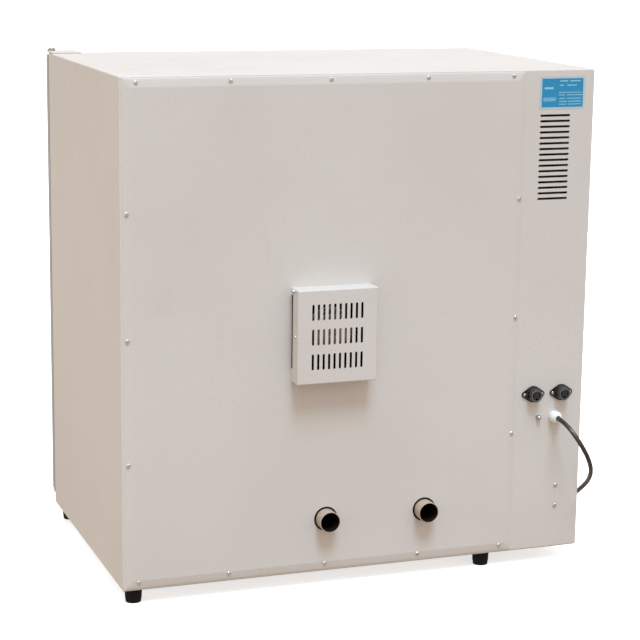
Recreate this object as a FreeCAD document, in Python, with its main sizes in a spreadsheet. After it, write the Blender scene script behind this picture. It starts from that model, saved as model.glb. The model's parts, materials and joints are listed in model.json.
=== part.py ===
"""Laboratory incubator with a fan-stirred chamber and a control compartment beside it.

Millimetres, +Z up. The origin is on the floor, at the centre of the footprint without the cord.
The doors face -Y, the rear panel faces +Y, and the control compartment is on the -X side.
"""
import FreeCAD, Part
import Sketcher
import math
import os
from FreeCAD import Rotation, Vector

SIZES = {
    # cabinet
    "cabinet_width": 890, "cabinet_depth": 558, "cabinet_height": 906, "foot_height": 28,
    "rear_face": 291, "sheet": 1.2, "thin_sheet": 1, "control_width": 139, "wall_gap": 10,
    # chamber and what is fixed in it
    "chamber_centre": 67, "liner_width": 624, "liner_height": 786, "liner_floor": 90,
    "liner_back": 229.2, "stop_width": 12, "stop_back": -229, "baffle_face": 183,
    "baffle_width": 534, "baffle_floor": 170, "baffle_top": 850, "standard_depth": 3,
    "standard_width": 15, "standard_notch_pitch": 25.4, "runner_length": 360, "runner_leg": 30,
    # shelves
    "shelf_width": 580, "shelf_depth": 388, "shelf_front": -212, "shelf_bar": 6,
    "shelf_wire_radius": 1.6, "first_shelf": 270, "shelf_pitch": 180,
    # circulation fan and heater
    "fan_height": 478, "motor_radius": 38, "motor_front": 258, "motor_back": 318,
    "shaft_radius": 4, "running_gap": 0.05, "wheel_radius": 60, "heater_ring_radius": 80,
    "heater_tube_radius": 4.2, "cover_width": 149.4, "cover_height": 169.4, "cover_back": 331,
    "cover_slot_width": 4.2, "cover_slot_length": 29, "cover_slot_pitch": 10.2,
    "cover_row_pitch": 44.6, "cover_slot_shift": 0.6, "cover_across": 62.4, "cover_middle": 475,
    "cover_gap": 7, "cover_screw_line": 24,
    # rear panel, vents and electrical fittings
    "panel_margin": 5, "panel_band": 18, "panel_slope": 12, "panel_rise": 2.5,
    "vent_height": 128.3, "vent_spacing": 193, "vent_radius": 19.05, "vent_bore": 17.4,
    "vent_reach": 28, "louvre_length": 60.3, "louvre_gap": 4.2, "louvre_pitch": 10.14,
    "louvre_centre": -367.6, "louvre_lowest": 698.6, "receptacle_height": 331,
    "receptacle_near": -342.8, "receptacle_far": -400.6, "receptacle_radius": 12.5,
    "receptacle_reach": 17, "receptacle_screw_reach": 17.8,
    "gland_across": -388.6, "gland_height": 284.7, "gland_radius": 11.8, "gland_reach": 18,
    "stud_across": -355.5, "stud_height": 285.3,
    "label_width": 91, "label_height": 59.5, "label_across": -380.3, "label_middle": 891.7,
    # fasteners
    "screw_head_radius": 4, "screw_head_height": 2.6, "screw_radius": 2.1, "screw_length": 11,
    "small_head_radius": 3, "small_radius": 1.5, "small_length": 9, "hole_gap": 0.2,
    # feet
    "foot_top_radius": 16, "foot_floor_radius": 14, "foot_inset": 25, "foot_left": -257,
    # outer door
    "door_left": -303, "door_bottom": 51, "door_top": 930.6, "door_front": -293,
    "door_skin_back": -271.5, "door_flange_back": -269.5, "plug_back": -259, "plug_gap": 8,
    "door_edge_radius": 4, "door_foot_radius": 12, "gasket_width": 24, "gasket_gap": 0.3,
    "hinge_across": 436.5, "hinge_line": -280, "hinge_pin_radius": 6, "hinge_plate": 3,
    "hinge_head": 6.5, "handle_reach": 38, "handle_length": 200, "handle_width": 18,
    "handle_bar": 14, "handle_across": -272,
    # glass door
    "glass_front": -239.5, "glass_thickness": 5, "glass_gap": 3.3, "glass_hinge_across": 371,
    "glass_hinge_line": -244.2, "glass_pin_radius": 2.5, "knuckle_radius": 4.2,
    "knuckle_length": 40, "glass_hinge_inset": 60,
    # controls on the fascia
    "control_centre": -375, "display_height": 805, "display_width": 70, "display_tall": 34,
    "button_height": 755, "button_pitch": 26, "button_radius": 6, "lamp_height": 718,
    "lamp_radius": 4, "dial_height": 640, "dial_radius": 15, "switch_height": 560,
    "fascia_thickness": 3, "rocker_tilt": 9,
    # power cord
    "cord_radius": 4.25, "coil_across": -530, "coil_along": -110, "coil_mid_radius": 47,
    "coil_band": 25.5, "coil_floor": 1.2, "coil_height": 17.4, "tie_width": 9,
    "plug_width": 26, "plug_tall": 20, "plug_length": 38,
}


class Length:
    """A number that keeps the spreadsheet expression it was worked out from."""

    def __init__(self, value, text):
        self.value = value
        self.text = text

    def __add__(self, other):
        other = length(other)
        return Length(self.value + other.value, f"({self.text} + {other.text})")

    def __sub__(self, other):
        other = length(other)
        return Length(self.value - other.value, f"({self.text} - {other.text})")

    def __rsub__(self, other):
        return length(other) - self

    def __mul__(self, factor):
        factor = length(factor)
        return Length(self.value * factor.value, f"({self.text} * {factor.text})")

    def __truediv__(self, divisor):
        return Length(self.value / divisor, f"({self.text} / {divisor})")

    def __neg__(self):
        return Length(-self.value, f"(-1 * {self.text})")

    __radd__ = __add__
    __rmul__ = __mul__


def length(number):
    """A plain number or a Length, as a Length."""
    if isinstance(number, Length):
        return number
    return Length(float(number), f"({float(number):.6f})")


doc = FreeCAD.newDocument("incubator")
sheet = doc.addObject("Spreadsheet::Sheet", "Sizes")
for row, (alias, number) in enumerate(SIZES.items(), start=1):
    sheet.set(f"A{row}", alias)
    sheet.set(f"B{row}", str(number))
    sheet.setAlias(f"B{row}", alias)
doc.recompute()


class Sheet:
    """Reads each size from the spreadsheet as a Length."""

    def __getattr__(self, alias):
        return Length(float(getattr(sheet, alias)), f"Sizes.{alias}")


S = Sheet()
ALONG_X = Rotation(Vector(0, 1, 0), 90)       # local +Z lies along +X
REARWARD = Rotation(Vector(0, 1, 1), 180)     # local +Z points to +Y, local +Y to +Z, local +X to -X
FORWARD = Rotation(Vector(1, 0, 0), 90)       # local +Z points to -Y, local +Y to +Z
UPRIGHT = Rotation()
TO_COIL = Rotation(Vector(0, 0, 1), Vector(-0.25, 1, 0))     # local +Z points back to the coil
NODES = []


# ---------------------------------------------------------------- building blocks
def bind(thing, prop, size):
    thing.setExpression(prop, length(size).text)


def place(thing, x, y, z, turn=UPRIGHT):
    thing.Placement = FreeCAD.Placement(Vector(), turn)
    for axis, size in zip("xyz", (x, y, z)):
        bind(thing, f"Placement.Base.{axis}", size)
    return thing


def block(x, y, z):
    """A box between two places along each axis."""
    solid = doc.addObject("Part::Box", "block")
    for prop, (low, high) in zip(("Length", "Width", "Height"), (x, y, z)):
        bind(solid, prop, high - low)
    return place(solid, x[0], y[0], z[0])


def rod(radius, start, reach, turn):
    """A cylinder from start, as long as reach, along the turned local +Z."""
    solid = doc.addObject("Part::Cylinder", "rod")
    bind(solid, "Radius", radius)
    bind(solid, "Height", reach)
    return place(solid, *start, turn)


def compound(shapes, name="set"):
    result = doc.addObject("Part::Compound", name)
    result.Links = list(shapes)
    return result


def fuse(shapes, name="joined"):
    result = doc.addObject("Part::MultiFuse", name)
    result.Shapes = list(shapes)
    return result


def cut(base, tools, name="cut"):
    """The base less the tools, which don't overlap one another."""
    result = doc.addObject("Part::Cut", name)
    result.Base = base
    result.Tool = tools[0] if len(tools) == 1 else compound(tools)
    return result


def rounded(base, radius_of_edge, name="rounded"):
    """Rounds each edge of the base for which radius_of_edge gives a radius."""
    doc.recompute()
    result = doc.addObject("Part::Fillet", name)
    result.Base = base
    picked = []
    for index, edge in enumerate(base.Shape.Edges, start=1):
        radius = radius_of_edge(edge)
        if radius:
            picked.append((index, radius, radius))
    result.Edges = picked
    return result


def feature(shape, name="feature"):
    result = doc.addObject("Part::Feature", name)
    result.Shape = shape
    return result


def copies(source, places):
    """One piece repeated at several placements."""
    doc.recompute()
    shapes = []
    for placement in places:
        shape = source.Shape.copy()
        shape.Placement = placement
        shapes.append(shape)
    return feature(Part.makeCompound(shapes), "copies")


def at(x, y, z, turn=UPRIGHT):
    return FreeCAD.Placement(Vector(length(x).value, length(y).value, length(z).value), turn)


def node(piece, name):
    piece.Label = name
    NODES.append(piece)
    return piece


def obround(long_size, wide_size, depth, places, turn):
    """Round-ended slots that are long along local X, cut through depth along local Z."""
    radius = wide_size.value / 2
    half = long_size.value / 2 - radius
    corners = [Vector(-half, -radius), Vector(half, -radius), Vector(half, radius), Vector(-half, radius)]
    sides = [
        Part.makeLine(corners[0], corners[1]),
        Part.Arc(corners[1], Vector(half + radius, 0), corners[2]).toShape(),
        Part.makeLine(corners[2], corners[3]),
        Part.Arc(corners[3], Vector(-half - radius, 0), corners[0]).toShape(),
    ]
    slot = Part.Face(Part.Wire(sides)).extrude(Vector(0, 0, depth))
    shapes = []
    for x, y, z in places:
        shape = slot.copy()
        shape.Placement = FreeCAD.Placement(Vector(x, y, z), turn)
        shapes.append(shape)
    return feature(Part.makeCompound(shapes), "slots")


def new_body(name="body"):
    return doc.addObject("PartDesign::Body", name)


def sketch_on(body, role):
    """An empty sketch on one of the body's own origin planes."""
    sketch = body.newObject("Sketcher::SketchObject", "sketch")
    plane = [item for item in body.Origin.OriginFeatures if item.Role == role][0]
    sketch.AttachmentSupport = [(plane, "")]
    sketch.MapMode = "FlatFace"
    return sketch


def outline(sketch, points):
    """A closed outline of straight sides whose corners are held by bound sizes."""
    count = len(points)
    angles = [2 * math.pi * i / count for i in range(count)]
    start = [Vector(math.cos(angle), math.sin(angle)) for angle in angles]
    for i in range(count):
        sketch.addGeometry(Part.LineSegment(start[i], start[(i + 1) % count]))
    for i in range(count):
        sketch.addConstraint(Sketcher.Constraint("Coincident", i, 2, (i + 1) % count, 1))
    for i, (across, up) in enumerate(points):
        for kind, size, guess in (("DistanceX", across, start[i].x), ("DistanceY", up, start[i].y)):
            index = sketch.addConstraint(Sketcher.Constraint(kind, i, 1, guess))
            sketch.setExpression(f"Constraints[{index}]", length(size).text)


def ring(sketch, radius):
    """A circle about the sketch's origin."""
    circle = sketch.addGeometry(Part.Circle(Vector(), Vector(0, 0, 1), length(radius).value))
    sketch.addConstraint(Sketcher.Constraint("Coincident", circle, 3, -1, 1))
    index = sketch.addConstraint(Sketcher.Constraint("Radius", circle, length(radius).value))
    sketch.setExpression(f"Constraints[{index}]", length(radius).text)


def pad(body, sketch, size):
    result = body.newObject("PartDesign::Pad", "pad")
    result.Profile = sketch
    bind(result, "Length", size)
    return result


def turned(profile, name="turned"):
    """A body turned about its own Z axis from (radius, height) corners."""
    body = new_body(name)
    sketch = sketch_on(body, "XZ_Plane")
    outline(sketch, profile)
    result = body.newObject("PartDesign::Revolution", "revolution")
    result.Profile = sketch
    result.ReferenceAxis = (sketch, ["V_Axis"])
    result.Angle = 360
    return body


def moved(body, x, y, z, turn=UPRIGHT):
    return place(body, x, y, z, turn)


# ---------------------------------------------------------------- shared places
LEFT = -S.cabinet_width / 2
RIGHT = S.cabinet_width / 2
REAR = S.rear_face
FRONT = REAR - S.cabinet_depth
BASE = S.foot_height
TOP = BASE + S.cabinet_height
SKIN = S.sheet
DIVIDER = LEFT + S.control_width
LINER_LEFT = S.chamber_centre - S.liner_width / 2
LINER_RIGHT = S.chamber_centre + S.liner_width / 2
LINER_FLOOR = S.liner_floor
LINER_TOP = LINER_FLOOR + S.liner_height
LINER_FRONT = FRONT + SKIN
INSIDE_LEFT = LINER_LEFT + S.thin_sheet
INSIDE_RIGHT = LINER_RIGHT - S.thin_sheet
INSIDE_FLOOR = LINER_FLOOR + S.thin_sheet
INSIDE_TOP = LINER_TOP - S.thin_sheet
INSIDE_BACK = S.liner_back - S.thin_sheet
PANEL_LEFT = DIVIDER
PANEL_RIGHT = RIGHT - S.panel_margin
PANEL_BACK = REAR + S.thin_sheet
FIELD_BACK = PANEL_BACK + S.panel_rise
VENTS = [S.chamber_centre - S.vent_spacing * i for i in range(2)]
SCREW_HOLE = S.screw_radius + S.hole_gap
SMALL_HOLE = S.small_radius + S.hole_gap
LOUVRES = 16
PROBE_ALONG, PROBE_HEIGHT, PROBE_RADIUS = 60, 700, 3
SHELVES = 3
GASKET_FRONT = S.door_flange_back
GLASS_BACK = S.glass_front + S.glass_thickness


def panel_screw_places():
    """The sixteen perimeter screws of the rear panel as (x, z)."""
    rows = [LEFT + 861.6, LEFT + 695.3, LEFT + 512.5, LEFT + 329.7, LEFT + 163.4]
    places = [(x, z) for z in (TOP - 10.4, BASE + 14.7) for x in rows]
    sides = (RIGHT - 10.8, DIVIDER + 5.9)
    return places + [(x, BASE + z) for x in sides for z in (231, 452, 673)]


STRIP_SCREWS = [(LEFT + 48, BASE + 122), (LEFT + 48, BASE + 82)]
TOP_HINGE_SCREWS = [(RIGHT - 44, FRONT + 14), (RIGHT - 15, FRONT + 14), (RIGHT - 29, FRONT + 24)]
LOW_HINGE_SCREWS = [(RIGHT - 44, BASE + 11), (RIGHT - 15, BASE + 11)]
RECEPTACLES = [S.receptacle_near, S.receptacle_far]
RECEPTACLE_SCREWS = [x + S.receptacle_screw_reach * side for x in RECEPTACLES for side in (-1, 1)]
FASCIA_SCREWS = [(x, z) for x in (LEFT + 10, DIVIDER - 10) for z in (BASE + 14, TOP - 14)]
COVER_SIDES = [S.cover_across + S.cover_width / 2 * side for side in (-1, 1)]
COVER_SCREWS = [(COVER_SIDES[0], S.cover_screw_line, 0), (COVER_SIDES[1], S.cover_screw_line, 0),
                (COVER_SIDES[1], 13, S.cover_height / 2 - 7)]
FEET = [(x, y) for x in (S.foot_left, RIGHT - S.foot_inset)
        for y in (FRONT + S.foot_inset, REAR - S.foot_inset)]


def holes_along_y(places, radius, near, far):
    """Round cutters parallel to Y at (x, z) places."""
    return [rod(radius, (x, near, z), far - near, REARWARD) for x, z in places]


# ---------------------------------------------------------------- cabinet
def outer_shell():
    outer = block((LEFT, RIGHT), (FRONT, REAR), (BASE, TOP))
    hollow = block((LEFT + SKIN, RIGHT - SKIN), (FRONT - 1, REAR - SKIN), (BASE - 1, TOP - SKIN))
    window = block((DIVIDER + 16, RIGHT - 21), (REAR - SKIN - 1, REAR + 1), (BASE + 26, TOP - 23))
    shell = cut(outer, [hollow, window])
    near, far = REAR - SKIN - 1, REAR + 1
    rows = [S.louvre_lowest.value + S.louvre_pitch.value * i for i in range(LOUVRES)]
    places = [(S.louvre_centre.value, near.value, z) for z in rows]
    tools = [obround(S.louvre_length, S.louvre_gap, SKIN.value + 2, places, REARWARD)]
    tools += holes_along_y(panel_screw_places() + STRIP_SCREWS, SCREW_HOLE, near, far)
    bodies = [(x, S.receptacle_height) for x in RECEPTACLES]
    tools += holes_along_y(bodies, S.receptacle_radius + S.hole_gap, near, far)
    tools += holes_along_y([(x, S.receptacle_height) for x in RECEPTACLE_SCREWS], SMALL_HOLE, near, far)
    tools += holes_along_y([(S.gland_across, S.gland_height)], 10, near, far)
    tools += holes_along_y([(S.stud_across, S.stud_height)], 3.2, near, far)
    tools += [rod(SCREW_HOLE, (x, y, TOP - SKIN - 1), SKIN + 2, UPRIGHT) for x, y in TOP_HINGE_SCREWS]
    return node(cut(shell, tools, "shell"), "outer_shell")


def base_pan():
    left, right, front, back = LEFT + SKIN, RIGHT - SKIN, FRONT, REAR - SKIN
    lip = BASE + 10
    floor = block((left, right), (front, back), (BASE, BASE + SKIN))
    sides = [
        block((left, left + SKIN), (front + 6, back), (BASE, lip)),
        block((right - SKIN, right), (front + 6, back), (BASE, lip)),
        block((left, right), (back - SKIN, back), (BASE, lip)),
    ]
    bolts = [rod(3.2, (x, y, BASE - 1), SKIN + 2, UPRIGHT) for x, y in FEET]
    return node(cut(fuse([floor] + sides), bolts, "pan"), "base_pan")


def front_frame():
    plate = block((DIVIDER, RIGHT - SKIN), (FRONT, LINER_FRONT), (BASE + SKIN, TOP - SKIN))
    mouth = block((INSIDE_LEFT, INSIDE_RIGHT), (FRONT - 1, LINER_FRONT + 1), (INSIDE_FLOOR, INSIDE_TOP))
    screws = holes_along_y(LOW_HINGE_SCREWS, SCREW_HOLE, FRONT - 1, LINER_FRONT + 1)
    return node(cut(plate, [mouth] + screws, "frame"), "front_frame")


def compartment_divider():
    sheet_wall = block((DIVIDER, DIVIDER + SKIN), (FRONT + S.fascia_thickness, REAR - SKIN),
                       (BASE + SKIN, TOP - SKIN))
    probe = rod(PROBE_RADIUS + S.hole_gap, (DIVIDER - 1, PROBE_ALONG, PROBE_HEIGHT), SKIN + 2, ALONG_X)
    lip_room = block((DIVIDER - 1, DIVIDER + 3), (REAR - SKIN * 3, REAR), (BASE, BASE + 10.5))
    return node(cut(sheet_wall, [probe, lip_room], "divider"), "compartment_divider")


def chamber_liner():
    """Five welded sheets, open at the front, and the four strips of the glass door's stop."""
    depth, heights = (LINER_FRONT, S.liner_back), (LINER_FLOOR, LINER_TOP)
    probe = rod(PROBE_RADIUS + S.hole_gap, (LINER_LEFT - 1, PROBE_ALONG, PROBE_HEIGHT), 4, ALONG_X)
    across, inside = (INSIDE_LEFT, INSIDE_RIGHT), (INSIDE_FLOOR, INSIDE_TOP)
    near, far = INSIDE_BACK - 1, S.liner_back + 1
    holes = holes_along_y([(x, S.vent_height) for x in VENTS], S.vent_radius + S.hole_gap, near, far)
    holes += holes_along_y([(S.chamber_centre, S.fan_height)], 8, near, far)
    holes += holes_along_y(HEATER_LEGS, 3.4, near, far)
    width = S.stop_width
    strip = (S.stop_back - SKIN, S.stop_back)
    between = (INSIDE_LEFT + width, INSIDE_RIGHT - width - 4)
    sheets = [
        cut(block((LINER_LEFT, INSIDE_LEFT), depth, heights), [probe]),
        block((INSIDE_RIGHT, LINER_RIGHT), depth, heights),
        block(across, depth, (LINER_FLOOR, INSIDE_FLOOR)),
        block(across, depth, (INSIDE_TOP, LINER_TOP)),
        cut(block(across, (INSIDE_BACK, S.liner_back), inside), holes),
        block((INSIDE_LEFT, between[0]), strip, inside),
        block((between[1], INSIDE_RIGHT), strip, inside),
        block(between, strip, (INSIDE_FLOOR, INSIDE_FLOOR + width)),
        block(between, strip, (INSIDE_TOP - width, INSIDE_TOP)),
    ]
    return node(compound(sheets, "liner"), "chamber_liner")


HEATER_LEGS = [(S.chamber_centre + side, S.fan_height - S.heater_ring_radius) for side in (-9, 9)]


def insulation_batts():
    """Five batts between the liner and the outer sheets."""
    gap = S.wall_gap
    left, right = DIVIDER + SKIN + 0.5, RIGHT - SKIN - 2
    front, back = FRONT + gap + 2, REAR - gap - 2
    floor, top = BASE + gap + 2, TOP - gap - 2
    side = cut(
        block((left, LINER_LEFT - 0.3), (front, back), (floor, top)),
        [rod(PROBE_RADIUS + 0.5, (left - 1, PROBE_ALONG, PROBE_HEIGHT), LINER_LEFT - left + 2, ALONG_X)])
    behind = block((LINER_LEFT, LINER_RIGHT), (S.liner_back + 0.3, back), (LINER_FLOOR, LINER_TOP))
    near, far = S.liner_back - 1, back + 1
    holes = holes_along_y([(x, S.vent_height) for x in VENTS], S.vent_radius + 0.5, near, far)
    holes += holes_along_y([(S.chamber_centre, S.fan_height)], S.motor_radius + 6, near, far)
    holes += holes_along_y(HEATER_LEGS, 4, near, far)
    batts = [
        side,
        block((LINER_RIGHT + 0.3, right), (front, back), (floor, top)),
        block((LINER_LEFT, LINER_RIGHT), (front, back), (floor, LINER_FLOOR - 0.3)),
        block((LINER_LEFT, LINER_RIGHT), (front, back), (LINER_TOP + 0.3, top)),
        cut(behind, holes),
    ]
    return node(compound(batts, "batts"), "insulation_batts")


def glass_door_gasket():
    """A silicone strip on the liner's stop, just clear of the closed glass."""
    back, front = S.stop_back - SKIN, GLASS_BACK + S.gasket_gap
    left, right = INSIDE_LEFT + S.glass_gap, INSIDE_RIGHT - S.glass_gap - 4.5
    floor, top = INSIDE_FLOOR + S.glass_gap, INSIDE_TOP - S.glass_gap
    outer = block((left, right), (front, back), (floor, top))
    inner = block((left + 8, right - 8), (front - 1, back + 1), (floor + 8, top - 8))
    return node(cut(outer, [inner], "strip"), "glass_door_gasket")


def knuckle_heights():
    """The lowest place of each glass door knuckle."""
    floor = INSIDE_FLOOR + S.glass_hinge_inset
    return [floor, INSIDE_TOP - S.glass_hinge_inset - S.knuckle_length]


def glass_hinge_brackets():
    """Two brackets on the liner wall, each with two ears and the pin between them."""
    brackets = []
    across, along = S.glass_hinge_across, S.glass_hinge_line
    for low in knuckle_heights():
        high = low + S.knuckle_length
        wall = block((INSIDE_RIGHT - 1.4, INSIDE_RIGHT), (along - 8, along + 8), (low - 6, high + 6))
        ears = []
        for ear_low, ear_high in ((low - 6, low - 0.5), (high + 0.5, high + 6)):
            ears.append(block((across, INSIDE_RIGHT), (along - 3.2, along + 3.2), (ear_low, ear_high)))
            ears.append(rod(3.2, (across, along, ear_low), ear_high - ear_low, UPRIGHT))
        pin = rod(S.glass_pin_radius, (across, along, low - 5), S.knuckle_length + 10, UPRIGHT)
        brackets.append(fuse([wall, pin] + ears))
    return node(compound(brackets, "brackets"), "glass_hinge_brackets")


def standard_places():
    """The front edge of each shelf standard, with the wall it stands on."""
    wall_left = (INSIDE_LEFT, INSIDE_LEFT + S.standard_depth)
    wall_right = (INSIDE_RIGHT - S.standard_depth, INSIDE_RIGHT)
    return [(wall, along) for wall in (wall_left, wall_right) for along in (-150, 110)]


def shelf_standards():
    floor, top = INSIDE_FLOOR + 20, INSIDE_TOP - 15
    notches = int((top.value - floor.value - 20) / S.standard_notch_pitch.value)
    strips = []
    for wall, along in standard_places():
        strip = block(wall, (along, along + S.standard_width), (floor, top))
        notch = Part.makeBox(S.standard_depth.value + 2, 3, 12)
        cutters = []
        for i in range(notches):
            cutter = notch.copy()
            height = floor.value + 12 + S.standard_notch_pitch.value * i
            cutter.translate(Vector(wall[0].value - 1, along + S.standard_width.value / 2 - 1.5, height))
            cutters.append(cutter)
        strips.append(cut(strip, [feature(Part.makeCompound(cutters), "notches")]))
    return node(compound(strips, "standards"), "shelf_standards")


def shelf_height(index):
    return S.first_shelf + S.shelf_pitch * index


def shelf_runners():
    """An angle on each side of every shelf; its leg carries the shelf."""
    runners = []
    start = -190
    along = (start, start + S.runner_length)
    face_left = INSIDE_LEFT + S.standard_depth
    face_right = INSIDE_RIGHT - S.standard_depth
    for index in range(SHELVES):
        leg_top = shelf_height(index) - 0.3
        leg = (leg_top - SKIN, leg_top)
        web = (leg_top - SKIN, leg_top + 16)
        runners.append(fuse([
            block((face_left, face_left + SKIN), along, web),
            block((face_left, face_left + S.runner_leg), along, leg)]))
        runners.append(fuse([
            block((face_right - SKIN, face_right), along, web),
            block((face_right - S.runner_leg, face_right), along, leg)]))
    return node(compound(runners, "runners"), "shelf_runners")


def air_baffle():
    """A pan in front of the fan; air enters at its centre and leaves above and below it."""
    left = S.chamber_centre - S.baffle_width / 2
    right = S.chamber_centre + S.baffle_width / 2
    face = (S.baffle_face, S.baffle_face + S.thin_sheet)
    heights = (S.baffle_floor, S.baffle_top)
    plate = block((left, right), face, heights)
    returns = [
        block((left, left + S.thin_sheet), (S.baffle_face, INSIDE_BACK), heights),
        block((right - S.thin_sheet, right), (S.baffle_face, INSIDE_BACK), heights),
    ]
    inlet = []
    for circle in range(3):
        count = max(1, 6 * circle)
        for i in range(count):
            angle = 2 * math.pi * i / count
            x = S.chamber_centre + 18 * circle * math.cos(angle)
            z = S.fan_height + 18 * circle * math.sin(angle)
            inlet.append((x, z))
    holes = holes_along_y(inlet, 7, S.baffle_face - 1, S.baffle_face + 3)
    return node(cut(fuse([plate] + returns), holes, "baffle"), "air_baffle")


def heater_element():
    """A sheathed ring round the fan wheel, with its two ends out through the rear wall."""
    along = S.baffle_face + 22
    coil = doc.addObject("Part::Torus", "coil")
    bind(coil, "Radius1", S.heater_ring_radius)
    bind(coil, "Radius2", S.heater_tube_radius)
    place(coil, S.chamber_centre, along, S.fan_height, REARWARD)
    legs = [rod(3, (x, along, z), S.liner_back + 22 - along, REARWARD) for x, z in HEATER_LEGS]
    return node(fuse([coil] + legs, "heater"), "heater_element")


def temperature_probe():
    probe = turned([(0, 0), (5, 0), (5, 8), (PROBE_RADIUS, 8), (PROBE_RADIUS, 140), (1.5, 142), (0, 142)])
    return node(moved(probe, DIVIDER - 8, PROBE_ALONG, PROBE_HEIGHT, ALONG_X), "temperature_probe")


# ---------------------------------------------------------------- circulation fan
def motor_housing():
    """A round housing with a bush hole at each end."""
    radius, reach, hole = S.motor_radius, S.motor_back - S.motor_front, 7
    halves = turned([
        (hole, 0), (radius - 3, 0), (radius, 3), (radius, reach - 3), (radius - 3, reach), (hole, reach),
        (hole, reach - 3), (radius - 4, reach - 3), (radius - 4, 3), (hole, 3)])
    return node(moved(halves, S.chamber_centre, S.motor_front, S.fan_height, REARWARD), "motor_housing")


def motor_bushings():
    bore, outer, reach = S.shaft_radius + S.running_gap, 7, 6
    profile = [(bore, 0), (outer, 0), (outer, reach), (bore, reach)]
    pair = [moved(turned(profile), S.chamber_centre, y, S.fan_height, REARWARD)
            for y in (S.motor_front, S.motor_back - reach)]
    return node(compound(pair, "bushings"), "motor_bushings")


def motor_bracket():
    """A strap across the panel's motor hole that grips the housing."""
    across, tall = 60, 20
    centre = S.chamber_centre
    strap = block((centre - across, centre + across), (FIELD_BACK, FIELD_BACK + 2),
                  (S.fan_height - tall, S.fan_height + tall))
    wide = rod(S.motor_radius + 6, (centre, FIELD_BACK, S.fan_height), 2, REARWARD)
    hole = rod(S.motor_radius, (centre, FIELD_BACK - 1, S.fan_height), 4, REARWARD)
    return node(cut(fuse([strap, wide]), [hole], "bracket"), "motor_bracket")


def motor_shaft():
    reach = S.motor_back - S.motor_front + 66
    radius = S.shaft_radius
    shaft = turned([
        (0, 0), (radius - 0.5, 0), (radius, 0.5), (radius, reach - 0.5), (radius - 0.5, reach), (0, reach)])
    return node(moved(shaft, S.chamber_centre, S.motor_front - 64, S.fan_height, REARWARD), "motor_shaft")


def fan_wheel():
    """A back plate and hub with sixteen radial blades."""
    wheel = new_body("wheel")
    disc = pad(wheel, circle_sketch(wheel, S.wheel_radius), 1.5)
    disc.Reversed = True
    pad(wheel, circle_sketch(wheel, 10), 22)
    blade_outline = sketch_on(wheel, "XY_Plane")
    outline(blade_outline, [
        (S.wheel_radius - 21, -0.6), (S.wheel_radius - 1, -0.6), (S.wheel_radius - 1, 0.6),
        (S.wheel_radius - 21, 0.6)])
    blade = pad(wheel, blade_outline, 20)
    axis = [item for item in wheel.Origin.OriginFeatures if item.Role == "Z_Axis"][0]
    pattern = wheel.newObject("PartDesign::PolarPattern", "blades")
    pattern.Originals = [blade]
    pattern.Axis = (axis, [""])
    pattern.Angle = 360
    pattern.Occurrences = 16
    wheel.Tip = pattern
    doc.recompute()
    solid_volume = wheel.Shape.Volume
    bore = wheel.newObject("PartDesign::Pocket", "bore")
    bore.Profile = circle_sketch(wheel, S.shaft_radius)
    bore.Type = "ThroughAll"
    bore.Midplane = True
    wheel.Tip = bore
    doc.recompute()
    removed = solid_volume - wheel.Shape.Volume
    expected = math.pi * S.shaft_radius.value ** 2 * 23.5
    print(f"fan wheel bore: removed {removed:.1f}, expected {expected:.1f} mm3")
    return node(moved(wheel, S.chamber_centre, S.baffle_face + 35, S.fan_height, FORWARD), "fan_wheel")


def circle_sketch(body, radius):
    sketch = sketch_on(body, "XY_Plane")
    ring(sketch, radius)
    return sketch


# ---------------------------------------------------------------- rear panel and what is on it
def raised_field(rise_start):
    """The panel's slightly raised field, a frustum that grows towards +Y."""
    field = doc.addObject("Part::Wedge", "field")
    band, slope, rise = S.panel_band, S.panel_slope, S.panel_rise
    low, high = BASE + 3, TOP - 3
    bounds = {
        "Xmin": PANEL_LEFT + band, "Xmax": PANEL_RIGHT - band, "Zmin": low + band, "Zmax": high - band,
        "X2min": PANEL_LEFT + band + slope, "X2max": PANEL_RIGHT - band - slope,
        "Z2min": low + band + slope, "Z2max": high - band - slope,
        "Ymin": rise_start, "Ymax": rise_start + rise,
    }
    for prop, size in bounds.items():
        setattr(field, prop, size.value)
    for prop, size in bounds.items():
        bind(field, prop, size)
    return field


def rear_panel():
    plate = block((PANEL_LEFT, PANEL_RIGHT), (REAR, PANEL_BACK), (BASE + 3, TOP - 3))
    sheet_metal = cut(fuse([plate, raised_field(PANEL_BACK)]), [raised_field(REAR)])
    near, far = REAR - 1, FIELD_BACK + 1
    tools = holes_along_y(panel_screw_places(), SCREW_HOLE, near, far)
    tools += holes_along_y([(x, S.vent_height) for x in VENTS], S.vent_radius + S.hole_gap, near, far)
    tools += holes_along_y([(S.chamber_centre, S.fan_height)], S.motor_radius + 3, near, far)
    return node(cut(sheet_metal, tools, "panel"), "rear_panel")


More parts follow.
